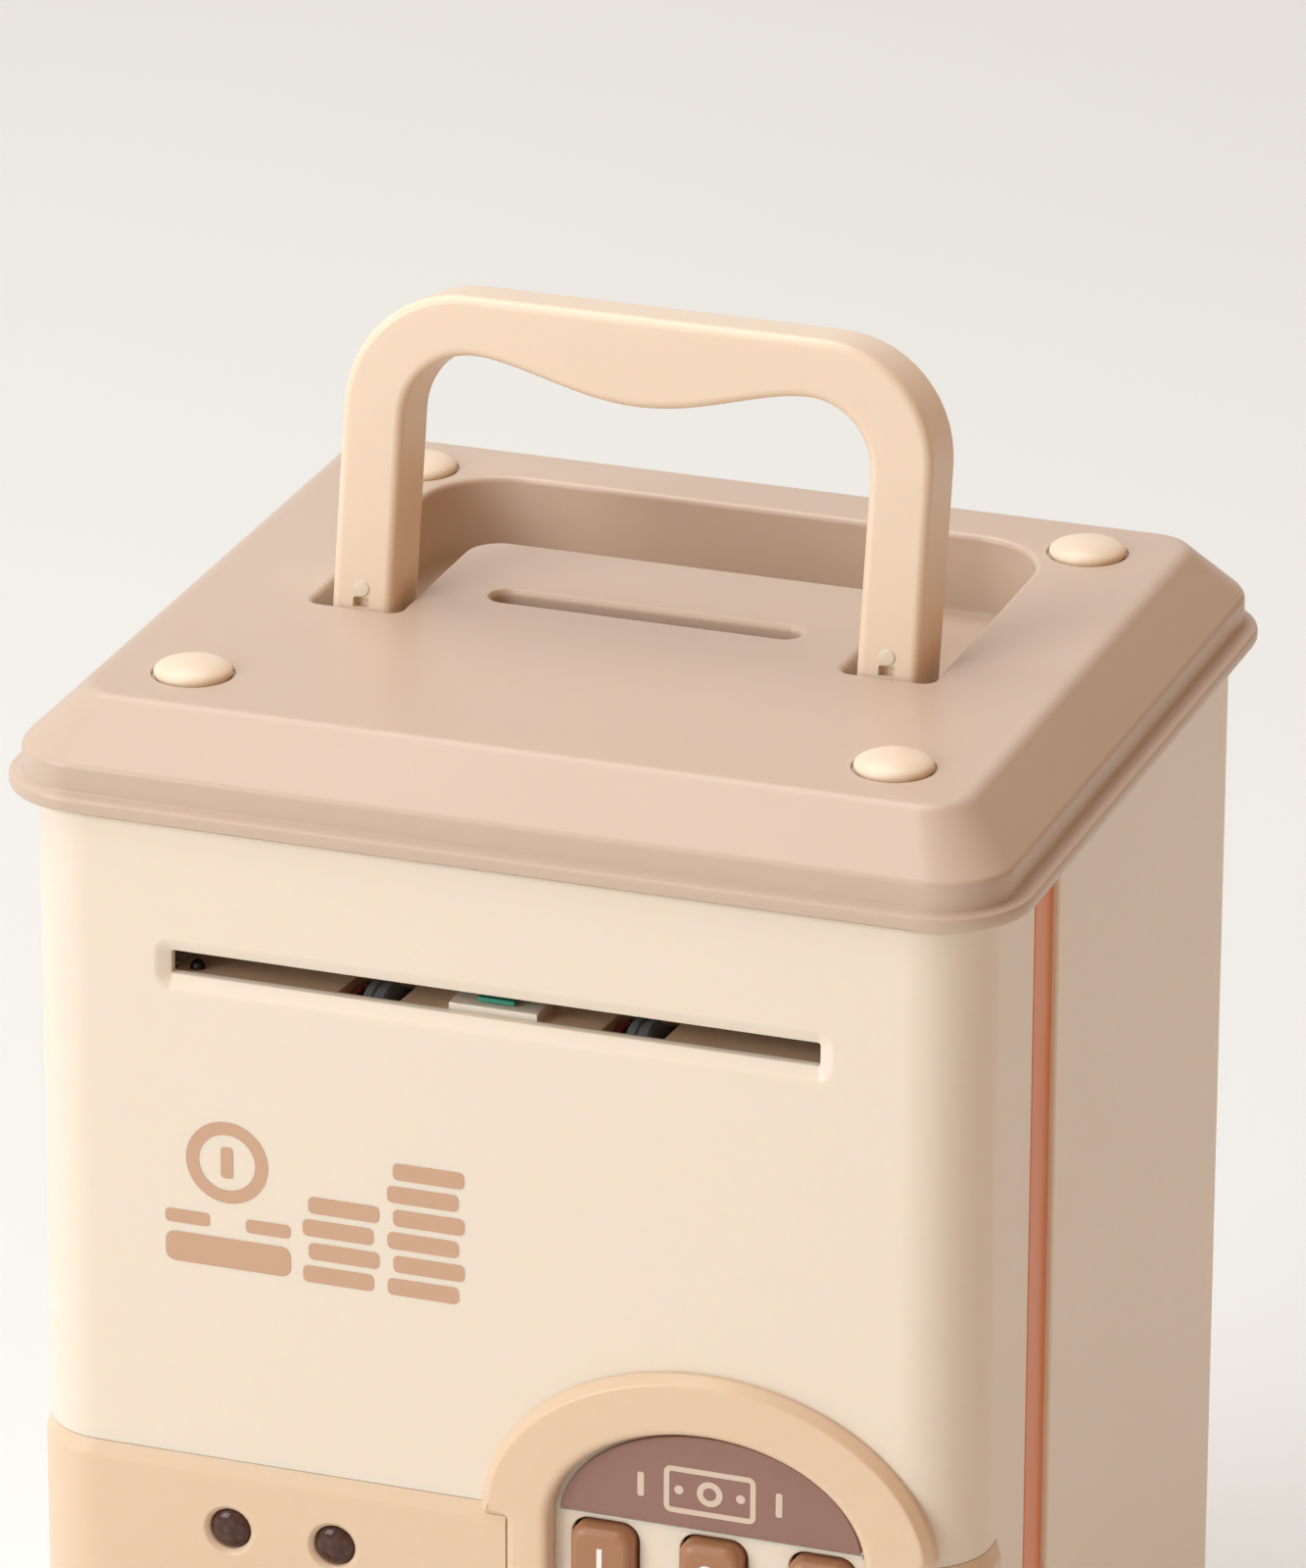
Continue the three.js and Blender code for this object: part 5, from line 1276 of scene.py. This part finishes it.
def plunger_spring():
    low, high = box_mm("lock_plunger")
    box_low = box_mm("lock_solenoid")[0]
    y, z = (low.y + high.y) / 2, (low.z + high.z) / 2
    coil = grown("plunger_spring", SPRING, [(box_low.x - 0.3, y, z)], Turns=5.0, Coil=2.3 * MM,
                 Length=-4.6 * MM, Wire=0.25 * MM, Turn=FACING_RIGHT, Finish=STEEL)
    fit(coil, "door", "steel")


# ---------------------------------------------------------------- stage, light and camera

def stage():
    floor_mesh = bpy.data.meshes.new("floor")
    reach, near = 6.0, 3.0
    corners = [(-reach, -near, 0), (reach, -near, 0), (reach, reach, 0), (-reach, reach, 0)]
    floor_mesh.from_pydata(corners, [], [(0, 1, 2, 3)])
    floor = bpy.data.objects.new("floor", floor_mesh)
    bpy.context.scene.collection.objects.link(floor)
    material, w, shader = new_material("pale_floor")
    place = w.add("ShaderNodeTexCoord").outputs["Object"]
    cloud = w.add("ShaderNodeTexNoise", Vector=place, Scale=3.0, Detail=3.0).outputs[0]
    w.feed(shader.inputs["Base Color"], mixed(w, cloud, rgb(0.80, 0.84, 0.845), rgb(0.835, 0.875, 0.885)))
    shader.inputs["Roughness"].default_value = 0.7
    floor_mesh.materials.append(material)


def lamp(name, kind, energy, size, place, target, colour):
    data = bpy.data.lights.new(name, kind)
    data.energy, data.size, data.color = energy, size, colour
    light = bpy.data.objects.new(name, data)
    bpy.context.scene.collection.objects.link(light)
    light.location = place
    light.rotation_euler = (Vector(target) - Vector(place)).to_track_quat("-Z", "Y").to_euler()


def light_and_camera():
    scene = bpy.context.scene
    scene.view_settings.view_transform = "Standard"
    world = bpy.data.worlds.new("studio")
    world.use_nodes = True
    w = Wiring(world.node_tree)
    around = w.add("ShaderNodeTexCoord").outputs["Generated"]
    toward = w.add("ShaderNodeSeparateXYZ", feeds=(around,)).outputs
    side = w.add("ShaderNodeMapRange", {"interpolation_type": "SMOOTHSTEP"},
                 (toward["X"], -0.3, 0.7, 0.0, 1.0))
    sky = mixed(w, side.outputs[0], rgb(0.68, 0.675, 0.67), rgb(0.38, 0.165, 0.035))
    w.feed(world.node_tree.nodes["Background"].inputs["Color"], sky)
    scene.world = world
    middle = (0.0, 0.0, 0.15)
    lamp("key", "AREA", 13.7, 0.9, (-1.05, -1.35, 0.78), middle, (1.0, 0.985, 0.975))
    lamp("top", "AREA", 10.4, 1.0, (-0.45, 0.3, 1.55), middle, (1.0, 0.99, 0.98))
    lamp("front_top", "AREA", 3.0, 0.5, (-0.5, -0.55, 1.4), middle, (1.0, 0.99, 0.98))
    data = bpy.data.cameras.new("camera")
    data.lens, data.sensor_width, data.sensor_fit = 231.35, 36.0, "AUTO"
    camera = bpy.data.objects.new("camera", data)
    scene.collection.objects.link(camera)
    target = Vector((13.66, -29.21, 181.17)) * MM
    camera.location = Vector((413.29, -1151.44, 661.13)) * MM
    look = (target - camera.location).to_track_quat("-Z", "Y")
    roll = Matrix.Rotation(math.radians(0.19), 4, "Z")
    camera.rotation_mode = "QUATERNION"
    camera.rotation_quaternion = (look.to_matrix().to_4x4() @ roll).to_quaternion()
    scene.camera = camera


light_and_camera()
stage()
lid()
lid_caps()
carry_handle()
door_panel()
lower_fascia()
keypad_bezel()
key_deck()
keys()
label()
door_print()
lamps()
case_shell()
feet()
knob()
rollers()
batteries()
inside_pieces()
screws()
sensor_wire()
plunger_spring()
